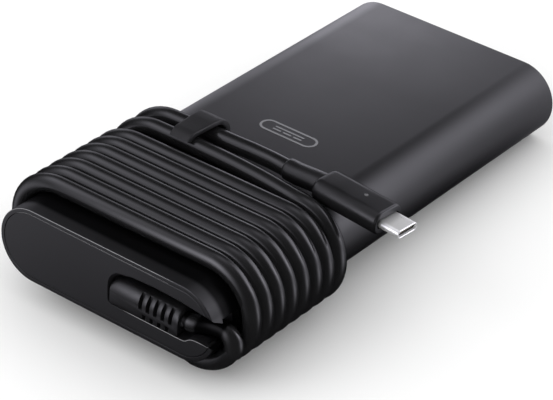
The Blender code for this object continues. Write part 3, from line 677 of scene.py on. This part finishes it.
relief = loft("exit_strain_relief", [relief_ring(x, s) for x, s in RELIEF_STATIONS], RELIEF,
              sharp=50)
relief_slots = []
for k in range(5):         # upper row
    x = 10.75 + 2.25 * k
    relief_slots.append(block("slot", (x - 0.56, -71.5, 7.75), (x + 0.56, -68.2, 12.9), RELIEF))
for k in range(4):         # lower row
    x = 9.6 + 2.3 * (k + 1)
    relief_slots.append(block("slot", (x - 0.5, -71.5, 5.0), (x + 0.5, -68.6, 6.75), RELIEF))
root = cylinder_y("root", ROOT_X, ROOT_Z, 2.65, -66.5, -58.3, 32, RELIEF)
cut(relief, [root], "UNION", sharp=50)
cut(relief, relief_slots, sharp=45, bevel=0.12, segments=2, angle=55)
ride(relief, "adapter", "exit_sleeve")

# ------------------------------------------------------------------ wound cable
COIL_R = 12.31             # half the height between the upper and lower passes
LEFT_R = 12.5              # reach of the left bends along X
RIGHT_X, LEFT_X = FLAT_X, -23.2
COIL_TOP, COIL_BOTTOM = MID_Z + COIL_R, MID_Z - COIL_R
TURN_Y = (-59.35, -54.78, -50.16, -45.54, -40.92, -36.3, -31.68)
# the last upper pass closes up to its neighbour on the right: x, y
LAST_TOP = (
    (-23.2, -23.85), (-15, -23.8), (-8, -23.85), (-2, -23.95), (4, -24.25), (10, -24.7),
    (16, -25.4), (23.0, -26.45),
)
# the first points, along the channel from the strain relief
CHANNEL_PATH = (
    (20.5, -66.9, 8.7), (22.5, -66.8, 8.5), (24.5, -66.2, 8.35), (26.5, -65.2, 8.4),
    (28.6, -64.5, 8.6), (30.9, -64.3, 8.75),
)
# the end of the wound part, on top
TAIL = ((-23.2, -17.75, COIL_TOP), (-19.5, -17.55, COIL_TOP), (-15.0, -17.35, COIL_TOP),
        (-11.5, -17.24, LEAD_Z))


def ease(t):
    t = max(0.0, min(1.0, t))
    return t * t * (3 - 2 * t)


def right_turn(y_of, n=26):
    """Half turn from the top down to the underside; y_of gives y from the part done."""
    return [(RIGHT_X + COIL_R * sin(pi * k / n), y_of(k / n), MID_Z + COIL_R * cos(pi * k / n))
            for k in range(n + 1)]


def left_turn(y_of, n=26):
    """Half turn from the underside up to the top."""
    return [(LEFT_X - LEFT_R * sin(pi * k / n), y_of(k / n), MID_Z - COIL_R * cos(pi * k / n))
            for k in range(n + 1)]


def underside(y_of, n=30):
    """Lower pass from right to left, without its end points."""
    return [(RIGHT_X + (LEFT_X - RIGHT_X) * (k / n), y_of(k / n), COIL_BOTTOM)
            for k in range(1, n)]


def drift(start, end):
    return lambda t: start + (end - start) * (0.04 + 0.92 * ease(t) * 0.5 + 0.46 * t)


def exit_points():
    """Along the channel, down round its corner and on to the right-hand bend."""
    points = list(CHANNEL_PATH)
    for k in range(1, 8):
        a = radians(90 - 116.6 * k / 8)
        points.append((30.95 + 3.5 * cos(a), -64.3 - 0.1 * sin(pi * k / 8), 5.25 + 3.5 * sin(a)))
    join_x, join_z = 34.27, 4.36
    start = atan2(join_z - MID_Z, join_x - RIGHT_X)
    for k in range(6):
        a = start + (-pi / 2 - start) * k / 5
        r = 12.2 + 0.3 * k / 5
        points.append((RIGHT_X + r * cos(a), -64.4 + 0.15 * k / 5, MID_Z + r * sin(a)))
    return points


def coil_points(exit_path):
    coil = catmull(exit_path, 0.7)
    y_from = -64.2
    for y in TURN_Y:
        coil += underside(drift(y_from, y))
        coil += left_turn(lambda t: y - (y - y_from) * 0.04 * (1 - ease(t * 1.6)))
        coil += [(LEFT_X + (RIGHT_X - LEFT_X) * k / 16, y, COIL_TOP) for k in range(1, 16)]
        coil += right_turn(lambda t: y + 0.1 * ease(t))
        y_from = y + 0.1
    coil += underside(drift(y_from, -24.3))
    coil += left_turn(lambda t: -24.6 + 0.75 * ease(t))
    for i, ((xa, ya), (xb, yb)) in enumerate(zip(LAST_TOP, LAST_TOP[1:])):
        for k in range(1 if i == 0 else 0, 5):
            t = k / 5
            coil.append((xa + (xb - xa) * t, ya + (yb - ya) * t, COIL_TOP))
    coil += right_turn(lambda t: -26.45 - 0.6 * ease(t * 1.2) + 0.5 * ease(2 * t - 1))
    coil += underside(lambda t: -26.55 + 7.5 * (0.5 * ease(t) + 0.5 * t))
    coil += left_turn(lambda t: -19.05 + 1.3 * ease(t))
    return coil + catmull(TAIL, 1.0)[1:]


def relax(coil, settle_from):
    """Evens out kinks along Y and adds the small unevenness of a cable wound by hand."""
    path = np.array(coil, float)
    y = path[:, 1].copy()
    for _ in range(3):
        y[1:-1] = 0.25 * y[:-2] + 0.5 * y[1:-1] + 0.25 * y[2:]
    path[:, 1] = y
    lengths = np.linalg.norm(np.diff(path, axis=0), axis=1)
    along = np.concatenate([[0], np.cumsum(lengths)])
    total = along[-1]
    # the passes lie slightly nearer the front, more so on the left
    settle = (np.clip((along - along[settle_from]) / 60, 0, 1)
              * np.clip((total - 75 - along) / 45, 0, 1))
    path[:, 1] -= settle * (0.33 - 0.007 * np.clip(path[:, 0], -25, 25))
    # slight waviness, fading out at both ends
    fade = np.clip(along / 60, 0, 1) * np.clip((total - along) / 40, 0, 1)
    path[:, 1] += fade * (0.05 * np.sin(along / 23.0) + 0.03 * np.sin(along / 9.1 + 1.0))
    path[:, 2] += fade * 0.03 * np.sin(along / 31.0 + 0.5)
    return path


exit_path = exit_points()
coil = relax(coil_points(exit_path), settle_from=len(exit_path))
ride(sweep("wound_cable", coil, CABLE_R, JACKET), "adapter", "dc_cable")

# ------------------------------------------------------------------ free end of the cable
# the first part crosses the adapter-to-lead joint, the second the lead-to-plug joint
LEAD_SPLIT = (2.0, -17.12, 22.77)
LEAD_START = ((-8.0, -17.22, 22.56), (-5.77, -17.2, 22.6), (-2.72, -17.15, 22.65),
              (0.35, -17.1, 22.72))
LEAD_END = ((3.54, -17.19, 22.82), (6.79, -17.42, 23.0), (10.0, -17.88, 23.2))
PLUG_JOINT = {"start": (6.5, -17.4, 23.0), "end": (16.5, -18.5, 23.25)}

to_nose = (NOSE - BEND_AT).normalized()
into_plug = [tuple(BEND_AT + to_nose * s) for s in (1.5, 6.0, 11.0)]
start_path = catmull([tuple(coil[-2]), tuple(coil[-1]), *LEAD_START, LEAD_SPLIT])[1:]
end_path = catmull([*LEAD_START[-2:], LEAD_SPLIT, *LEAD_END, *into_plug])
end_path = [p for p in end_path if p[0] > 1.7]
lead_start = sweep("lead_at_strap", start_path, CABLE_R, JACKET)
lead_end = sweep("lead_to_plug", end_path, CABLE_R, JACKET)
blend(lead_start, "adapter", "lead", start=(-11.0, -17.24, 22.55), end=(-4.0, -17.2, 22.6))
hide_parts("lead_cable")

# ------------------------------------------------------------------ plug axes
# s runs along the plug, 0 at the nose and negative towards the cable
along_plug = (NOSE - BEND_AT - Vector((0, 0, NOSE_LIFT + PLUG_RISE))).normalized()
across_plug = Vector((0, 0, 1)).cross(along_plug).normalized()
up_plug = along_plug.cross(across_plug)
PLUG_LENGTH = (NOSE - BEND_AT).length


def at(s, y=0.0, z=0.0):
    return tuple(NOSE + along_plug * s + across_plug * y + up_plug * z)


def plug_ring(s, width, height, radius, inset, steps):
    outline = round_rect(width - 2 * inset, height - 2 * inset, max(radius - inset, 0.05), steps)
    return [at(s, y, z) for y, z in outline]


def plug_bar(name, ends, width, height, radius, steps, material):
    """Straight bar along the plug; all lengths are in millimetres."""
    rings = [plug_ring(s * MM, width * MM, height * MM, radius * MM, 0, steps) for s in ends]
    return loft(name, rings, material)


# ------------------------------------------------------------------ plug strain relief
BOOT = (                   # s, radius
    (-PLUG_LENGTH + 1.25, 2.36), (-PLUG_LENGTH + 1.3, 2.55), (-PLUG_LENGTH + 1.5, 2.72),
    (-PLUG_LENGTH + 2.0, 2.8), (-34.0, 2.81), (-31.0, 2.83), (-28.0, 2.85), (-26.2, 2.87),
    (-25.4, 2.85),
)


def boot_at(s):
    """Centre of the strain relief: level with the lead, then rising into the plug."""
    p = Vector(at(s))
    p.z -= (p.z - BEND_AT.z) * (1 - 0.85 * ease((s + 36.0) / 11.0))
    return tuple(p)


boot_path, boot_radii = [], []
for (s0, r0), (s1, r1) in zip(BOOT, BOOT[1:]):
    n = max(1, int((s1 - s0) / 0.8))
    for k in range(n):
        boot_path.append(boot_at(s0 + (s1 - s0) * k / n))
        boot_radii.append(r0 + (r1 - r0) * k / n)
boot_path.append(boot_at(BOOT[-1][0]))
boot_radii.append(BOOT[-1][1])
boot = sweep("plug_strain_relief", boot_path, boot_radii, RELIEF, 40)
blend(boot, "lead", "plug", **PLUG_JOINT)
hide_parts("plug_sleeve")
blend(lead_end, "lead", "plug", **PLUG_JOINT)

# ------------------------------------------------------------------ plug body
BODY_W, BODY_H, BODY_R = 9.8, 6.2, 2.75
BODY_BACK, BODY_FRONT = -26.4, -6.65 * MM
BODY_STATIONS = (          # s, inset
    (BODY_BACK, 1.1), (BODY_BACK + 0.06, 0.78), (BODY_BACK + 0.22, 0.46),
    (BODY_BACK + 0.55, 0.2), (BODY_BACK + 1.1, 0.06), (BODY_BACK + 2.0, 0.0),
    (-20, 0.0), (-14, 0.0), (BODY_FRONT - 0.75, 0.0), (BODY_FRONT - 0.62, 0.03),
    (BODY_FRONT - 0.56, 0.12), (BODY_FRONT - 0.5, 0.16), (BODY_FRONT - 0.24, 0.18),
    (BODY_FRONT - 0.07, 0.28), (BODY_FRONT, 0.46),
)
body = loft("plug_body", [plug_ring(s, BODY_W, BODY_H, BODY_R, d, 12) for s, d in BODY_STATIONS],
            PLUG, sharp=50)
cut(body, [plug_bar("mouth", (-22.2, -6.0), 8.75, 2.9, 1.44, 10, PLUG),
           plug_bar("cavity", (-22.2, -9.6), 9.4, 3.9, 1.4, 8, PLUG)])
ride(body, "plug", "plug_overmould")

LENS_S, LENS_Y = -13.5, 0.4
LENS_STATIONS = (          # z, radius
    (BODY_H / 2 - 0.3, 0.5), (BODY_H / 2 + 0.015, 0.5), (BODY_H / 2 + 0.04, 0.44),
    (BODY_H / 2 + 0.05, 0.3),
)


def lens_ring(z, r, n=32):
    centre = Vector(at(LENS_S, LENS_Y, z))
    turn = [2 * pi * k / n for k in range(n)]
    return [tuple(centre + along_plug * (r * cos(a)) + across_plug * (r * sin(a))) for a in turn]


ride(loft("plug_lens", [lens_ring(z, r) for z, r in LENS_STATIONS], LENS), "plug", "plug_light")

# ------------------------------------------------------------------ plug shell and contacts
# rounded tube with a rolled nose, outside then inside: s, inset
SHELL_STATIONS = (
    (-14.0 * MM, 0.0), (-7.0 * MM, 0.0), (-0.35, 0.0), (-0.15, 0.02), (-0.04, 0.08),
    (0.0, 0.16), (-0.02, 0.27), (-0.12, 0.33), (-7.0 * MM, 0.33), (-14.0 * MM, 0.33),
)
shell_rings = [plug_ring(s, 7.8 * MM, 2.5 * MM, 1.24 * MM, d, 12) for s, d in SHELL_STATIONS]
ride(loft("plug_metal_shell", shell_rings, NICKEL, loop=True, sharp=50), "plug", "plug_shell")

INSERT_STATIONS = ((-13.6, 0), (-1.2, 0), (-0.75, 0.06), (-0.6, 0.2))    # s in mm, inset
insert_rings = [plug_ring(s * MM, 6.9 * MM, 1.66 * MM, 0.8 * MM, d, 8) for s, d in INSERT_STATIONS]
insert = loft("plug_insert", insert_rings, INLET)
cut(insert, [plug_bar("gap", (-6.3, 0.5), 6.6, 1.0, 0.3, 4, INLET)], bevel=0.05, segments=1)
ride(insert, "plug", "plug_tongue")

BRICK_FACES = ((0, 1, 2, 3), (4, 5, 6, 7), (0, 1, 5, 4), (1, 2, 6, 5), (2, 3, 7, 6), (3, 0, 4, 7))


def contact_row(name, side):
    """Twelve contacts joined by a bar at the back, in millimetres; side is 1 above, -1 below."""
    bricks = []            # s, y and z limits
    for k in range(12):
        y = -2.75 + 0.5 * k
        bricks.append((-5.5, -0.95, y - 0.12, y + 0.12, side * 0.34, side * 0.46))
    bricks.append((-5.9, -5.4, -2.95, 2.95, side * 0.33, side * 0.47))
    verts, faces = [], []
    for s0, s1, y0, y1, z0, z1 in bricks:
        first = len(verts)
        for z in (z0, z1):
            for s, y in ((s0, y0), (s1, y0), (s1, y1), (s0, y1)):
                verts.append(at(s * MM, y * MM, z * MM))
        faces.extend([tuple(first + i for i in face) for face in BRICK_FACES])
    return make_object(name, verts, faces, GOLD)


for level, side in (("upper", 1), ("lower", -1)):
    ride(contact_row("gold_contacts_" + level, side), "plug", "plug_contacts_" + level)

# ------------------------------------------------------------------ cable strap
# it bridges two cables side by side, centred at these places on Y
NEAR_Y, LEAD_Y = -24.0, -17.25
STRAP_X0, STRAP_X1 = -17.1, -11.1
# heights of the bridge above the cables' centre line
BRIDGE_Y = (-24.0, -22.0, -20.3, -18.6)
BRIDGE_OUTER = (3.9, 4.0, 4.12, 4.25)
BRIDGE_INNER = (2.45, 2.56, 2.66, 2.78)
STRAP_STATIONS = (         # x, inset
    (STRAP_X0, 0.42), (STRAP_X0 + 0.08, 0.25), (STRAP_X0 + 0.25, 0.1), (STRAP_X0 + 0.5, 0.02),
    (STRAP_X0 + 0.8, 0.0), (STRAP_X0 + 2.75, 0.0), (STRAP_X1 - 0.8, 0.0), (STRAP_X1 - 0.4, 0.01),
    (STRAP_X1 - 0.18, 0.06), (STRAP_X1 - 0.05, 0.16), (STRAP_X1, 0.3),
)


def strap_outline(d):
    """Section of the strap in (y, z), drawn in by d all round."""
    z = LEAD_Z
    bridge = [float(v) for v in np.linspace(-23.6, -18.6, 13)]
    out = arc_points(NEAR_Y, z, 3.9 - d, 148 - 14 * d, 90, 12)
    out += [(y, z + float(np.interp(y, BRIDGE_Y, BRIDGE_OUTER)) - d) for y in bridge]
    out += arc_points(LEAD_Y + 0.25, z, 4.3 - d, 84, 8, 14)
    out += [(LEAD_Y + 4.62 - d, z - 0.2), (LEAD_Y + 4.55 - d * 0.8, z - 1.1),
            (LEAD_Y + 4.15, z - 1.9 + d), (LEAD_Y + 3.55, z - 2.0 + d),
            (LEAD_Y + 3.05 + d * 0.6, z - 1.4 + 0.4 * d)]
    out += arc_points(LEAD_Y, z, 2.8 + d, -12, 84, 14)
    out += [(y, z + float(np.interp(y, BRIDGE_Y, BRIDGE_INNER)) + d) for y in reversed(bridge)]
    out += arc_points(NEAR_Y, z, 2.45 + d, 90, 146 - 10 * d, 12)
    return out


def strap_ring(x, inset):
    """Section at x, sheared to the right towards the lead, more so at its right end."""
    part = (x - STRAP_X0) / (STRAP_X1 - STRAP_X0)
    return [(x + part * (0.35 + 0.85 * (y - NEAR_Y) / (LEAD_Y - NEAR_Y)), y, z)
            for y, z in strap_outline(inset)]


strap = loft("cable_strap", [strap_ring(x, d) for x, d in STRAP_STATIONS], STRAP, sharp=50)
blend(strap, "adapter", "clip", start=(-14.65, -23.8, LEAD_Z), end=(-14.65, -18.9, LEAD_Z))
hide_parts("cable_clip")

# ------------------------------------------------------------------ carried-over CAD nodes
# CAD nodes, kind of material, then that kind's values in the order of its function:
#   plastic: name, colour, roughness, grain scale, grain depth (m), then colour drift,
#            roughness drift, bump strength and coat where they are set
#   metal:   name, colour, roughness, stretch of the marks, scale of the marks where set
#   winding: name, dark, light, pitch, axis, roughness, metallic
INSIDE = (
    ("inlet_pin_line", metal, "pin_line", (0.78, 0.74, 0.62), 0.2, (1, 10, 1)),
    ("inlet_pin_neutral", metal, "pin_neutral", (0.78, 0.74, 0.62), 0.2, (1, 10, 1)),
    ("inlet_pin_earth", metal, "pin_earth", (0.78, 0.74, 0.62), 0.2, (1, 10, 1)),
    ("main_board controller_board plug_board", board, "board_mask"),
    ("insulation_sheet", plastic, "insulating_film", (0.75, 0.70, 0.55), 0.35, 500.0, 0.00005),
    ("heat_spreader heat_sink", metal,
     "sheet_aluminium", (0.78, 0.79, 0.80), 0.32, (1, 18, 1), 500.0),
    ("thermal_pad", plastic, "thermal_pad_gel", (0.30, 0.40, 0.50), 0.7, 700.0, 0.0001, 0.12),
    ("fuse", plastic,
     "fuse_ceramic", (0.72, 0.69, 0.62), 0.3, 900.0, 0.00003, 0.06, 0.05, 0.35, 0.3),
    ("varistor", plastic,
     "varistor_coating", (0.03, 0.09, 0.35), 0.32, 400.0, 0.00015, 0.12, 0.05, 0.35, 0.3),
    ("thermistor", plastic,
     "thermistor_coating", (0.03, 0.15, 0.07), 0.32, 400.0, 0.00015, 0.12, 0.05, 0.35, 0.3),
    ("interference_capacitor", plastic,
     "capacitor_case", (0.62, 0.47, 0.07), 0.35, 900.0, 0.00004, 0.06),
    ("safety_capacitor_a", plastic,
     "capacitor_coating_a", (0.06, 0.18, 0.48), 0.32, 400.0, 0.00015, 0.12, 0.05, 0.35, 0.3),
    ("safety_capacitor_b", plastic,
     "capacitor_coating_b", (0.06, 0.18, 0.48), 0.32, 400.0, 0.00015, 0.12, 0.05, 0.35, 0.3),
    ("choke_core", winding,
     "choke_winding", (0.25, 0.10, 0.03), (0.62, 0.30, 0.10), 0.9, "X", 0.3, 0.7),
    ("choke_base", plastic, "choke_base_phenolic", (0.35, 0.27, 0.15), 0.6, 700.0, 0.00008, 0.12),
    ("boost_inductor_core transformer_core output_inductor", plastic,
     "ferrite", (0.05, 0.05, 0.055), 0.55, 900.0, 0.00008, 0.15, 0.08, 0.6),
    ("boost_inductor_winding", winding,
     "boost_winding", (0.28, 0.11, 0.03), (0.66, 0.33, 0.12), 0.7, "Z", 0.3, 0.7),
    ("transformer_winding", winding,
     "transformer_tape", (0.60, 0.46, 0.06), (0.72, 0.57, 0.10), 1.4, "Z", 0.4, 0.0),
    ("transformer_bobbin bridge_rectifier boost_transistor main_transistor rectifier_chip"
     " controller_chip", plastic,
     "moulded_epoxy", (0.02, 0.02, 0.021), 0.45, 1400.0, 0.00005, 0.1, 0.06, 0.5),
    ("bulk_capacitor_a", plastic,
     "capacitor_sleeve_a", (0.03, 0.04, 0.08), 0.3, 700.0, 0.00003, 0.08),
    ("bulk_capacitor_b", plastic,
     "capacitor_sleeve_b", (0.03, 0.04, 0.08), 0.3, 700.0, 0.00003, 0.08),
    ("output_capacitor_a", plastic,
     "output_capacitor_sleeve_a", (0.07, 0.17, 0.32), 0.3, 700.0, 0.00003, 0.08),
    ("output_capacitor_b", plastic,
     "output_capacitor_sleeve_b", (0.07, 0.17, 0.32), 0.3, 700.0, 0.00003, 0.08),
    ("optocoupler", plastic, "optocoupler_case", (0.75, 0.73, 0.66), 0.45, 900.0, 0.00004),
    ("line_wire", plastic, "wire_brown", (0.20, 0.07, 0.02), 0.4, 900.0, 0.00003),
    ("neutral_wire", plastic, "wire_blue", (0.04, 0.12, 0.45), 0.4, 900.0, 0.00003),
    ("earth_wire", plastic, "wire_green", (0.16, 0.40, 0.07), 0.4, 900.0, 0.00003),
    ("output_wire_positive", plastic, "wire_red", (0.45, 0.03, 0.03), 0.4, 900.0, 0.00003),
    ("output_wire_negative", plastic, "wire_black", (0.03, 0.03, 0.03), 0.4, 900.0, 0.00003),
    ("plug_shield", metal, "shield_tinplate", (0.70, 0.70, 0.71), 0.35, (1, 6, 6)),
)
for names, kind, *values in INSIDE:
    material = kind(*values)
    for name in names.split():
        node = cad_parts[name]
        if not node.material_slots:
            node.data.materials.append(material)
        for slot in node.material_slots:
            slot.material = material

# ------------------------------------------------------------------ floor
# the adapter lies on its windings and its rear edge, so the floor tilts in its frame
TILT = atan2(4.8, 89.0)
floor_normal = Vector((0, -sin(TILT), cos(TILT)))
rear_edge = Vector((0, HALF_L, -0.02)) * UNIT
bpy.ops.mesh.primitive_plane_add(size=12.0)
floor = bpy.context.object
floor.name = "floor"
floor_turn = Vector((0, 0, 1)).rotation_difference(floor_normal).to_matrix().to_4x4()
floor.matrix_world = Matrix.Translation(rear_edge) @ floor_turn
g = new_graph("floor_white")
g.set(Base_Color=g.mix(g.noise(3.0), (0.90, 0.90, 0.90), (0.92, 0.92, 0.92)),
      Roughness=0.9, Specular_IOR_Level=0.0)
floor.data.materials.append(g.material)
floor.visible_glossy = False

# ------------------------------------------------------------------ world
scene = bpy.context.scene
world = bpy.data.worlds.new("studio")
scene.world = world
world.use_nodes = True
background = world.node_tree.nodes["Background"]
background.inputs["Color"].default_value = (1.0, 1.0, 1.0, 1)
background.inputs["Strength"].default_value = 1.12
world.cycles_visibility.glossy = False

# ------------------------------------------------------------------ surround
# soft boxes on one sphere seen only in reflections: direction, strength
SOFT_BOXES = (
    ((-0.075, -0.963, 0.258), 4.274), ((0.868, 0.368, 0.332), 3.183),
    ((0.981, 0.101, -0.163), 2.001), ((0.804, 0.220, 0.553), 1.846),
    ((-0.603, -0.467, 0.647), 1.558), ((0.431, 0.363, 0.826), 1.528),
    ((-0.429, 0.894, 0.132), 1.306), ((-0.594, 0.759, 0.268), 1.276),
    ((0.524, 0.760, 0.384), 1.211), ((0.322, 0.791, 0.521), 1.136),
    ((0.641, 0.337, 0.689), 1.133), ((-0.657, -0.738, -0.153), 1.060),
    ((-0.911, 0.410, -0.037), 0.985), ((0.020, -0.227, 0.974), 0.836),
    ((-0.893, 0.316, 0.321), 0.810), ((0.535, 0.590, 0.605), 0.808),
    ((0.239, 0.924, 0.300), 0.729), ((0.780, 0.616, -0.111), 0.674),
    ((-0.440, -0.699, 0.563), 0.648), ((0.329, 0.943, -0.058), 0.620),
    ((-0.014, 0.990, -0.142), 0.616), ((-0.289, 0.890, 0.353), 0.554),
    ((-0.635, -0.644, 0.426), 0.421), ((0.102, 0.000, 0.995), 0.396),
    ((-0.159, -0.982, -0.100), 0.396), ((0.446, 0.880, 0.163), 0.332),
    ((-0.070, -0.543, 0.837), 0.192), ((-0.390, -0.855, 0.342), 0.169),
    ((0.964, 0.180, 0.195), 0.161), ((-0.242, -0.672, 0.700), 0.131),
    ((0.145, -0.642, 0.753), 0.111), ((0.420, -0.418, 0.805), 0.105),
    ((-0.441, 0.752, 0.489), 0.048), ((-0.398, -0.476, 0.784), 0.028),
)
BOX_SHARPNESS = 30.0       # higher makes each box smaller
SURROUND_R = 0.170
SURROUND_CENTRE = (0, 0, 0.01)


def surround_material():
    """Emission that peaks in the direction of each soft box."""
    g = new_graph("surround_light")
    g.tree.nodes.remove(g.bsdf)
    position = g.new("ShaderNodeNewGeometry").outputs["Position"]
    offset = g.vector_math("SUBTRACT", position, SURROUND_CENTRE).outputs[0]
    direction = g.vector_math("NORMALIZE", offset).outputs[0]
    total = None
    for box, strength in SOFT_BOXES:
        dot = g.vector_math("DOT_PRODUCT", direction, Vector(box).normalized())
        falloff = g.math("MULTIPLY_ADD", dot.outputs["Value"], BOX_SHARPNESS, -BOX_SHARPNESS)
        glow = g.math("MULTIPLY", g.math("EXPONENT", falloff), strength)
        total = glow if total is None else g.math("ADD", total, glow)
    emission = g.new("ShaderNodeEmission")
    emission.inputs["Color"].default_value = (0.985, 0.97, 1.08, 1)
    g.feed(emission.inputs["Strength"], total)
    g.feed(g.tree.nodes["Material Output"].inputs["Surface"], emission.outputs[0])
    g.material.cycles.emission_sampling = "NONE"
    return g.material


bpy.ops.mesh.primitive_ico_sphere_add(subdivisions=5, radius=SURROUND_R, location=SURROUND_CENTRE)
surround = bpy.context.object
surround.name = "surround"
surround.data.materials.append(surround_material())
surround.visible_camera = False
surround.visible_diffuse = False
surround.visible_shadow = False
surround.visible_transmission = False

# ------------------------------------------------------------------ key light, from the front left
KEY_AT, KEY_TARGET = Vector((-0.39, -0.62, 0.50)), Vector((0, 0, 0.01))
lamp = bpy.data.lights.new("key_diffuse", "AREA")
lamp.shape = "RECTANGLE"
lamp.size, lamp.size_y = 0.56, 0.45
lamp.energy = 1.25
key = bpy.data.objects.new("key_diffuse", lamp)
COLLECTION.objects.link(key)
key.location = KEY_AT
key.rotation_euler = (KEY_TARGET - KEY_AT).to_track_quat("-Z", "Y").to_euler()
key.visible_camera = False
key.visible_glossy = False

# ------------------------------------------------------------------ camera
AZIMUTH, ELEVATION, ROLL = radians(36.36008), radians(32.65263), radians(3.3844)
DISTANCE = 654.06894
TARGET = Vector((3.05047, -8.89064, 5.55939))
back = Vector((sin(AZIMUTH) * cos(ELEVATION), -cos(AZIMUTH) * cos(ELEVATION), sin(ELEVATION)))
level_x = Vector((0, 0, 1)).cross(back).normalized()
level_y = back.cross(level_x)
rolled_x = cos(ROLL) * level_x + sin(ROLL) * level_y
rolled_y = -sin(ROLL) * level_x + cos(ROLL) * level_y
lens = bpy.data.cameras.new("camera")
lens.sensor_fit = "HORIZONTAL"
lens.sensor_width = 36.0
lens.lens = 171.267575
lens.clip_start = 0.01
lens.clip_end = 50.0
camera = bpy.data.objects.new("camera", lens)
COLLECTION.objects.link(camera)
camera_turn = Matrix((rolled_x, rolled_y, back)).transposed().to_4x4()
camera.matrix_world = Matrix.Translation((TARGET + back * DISTANCE) * UNIT) @ camera_turn
scene.camera = camera
scene.view_settings.view_transform = "Standard"
scene.view_settings.look = "None"
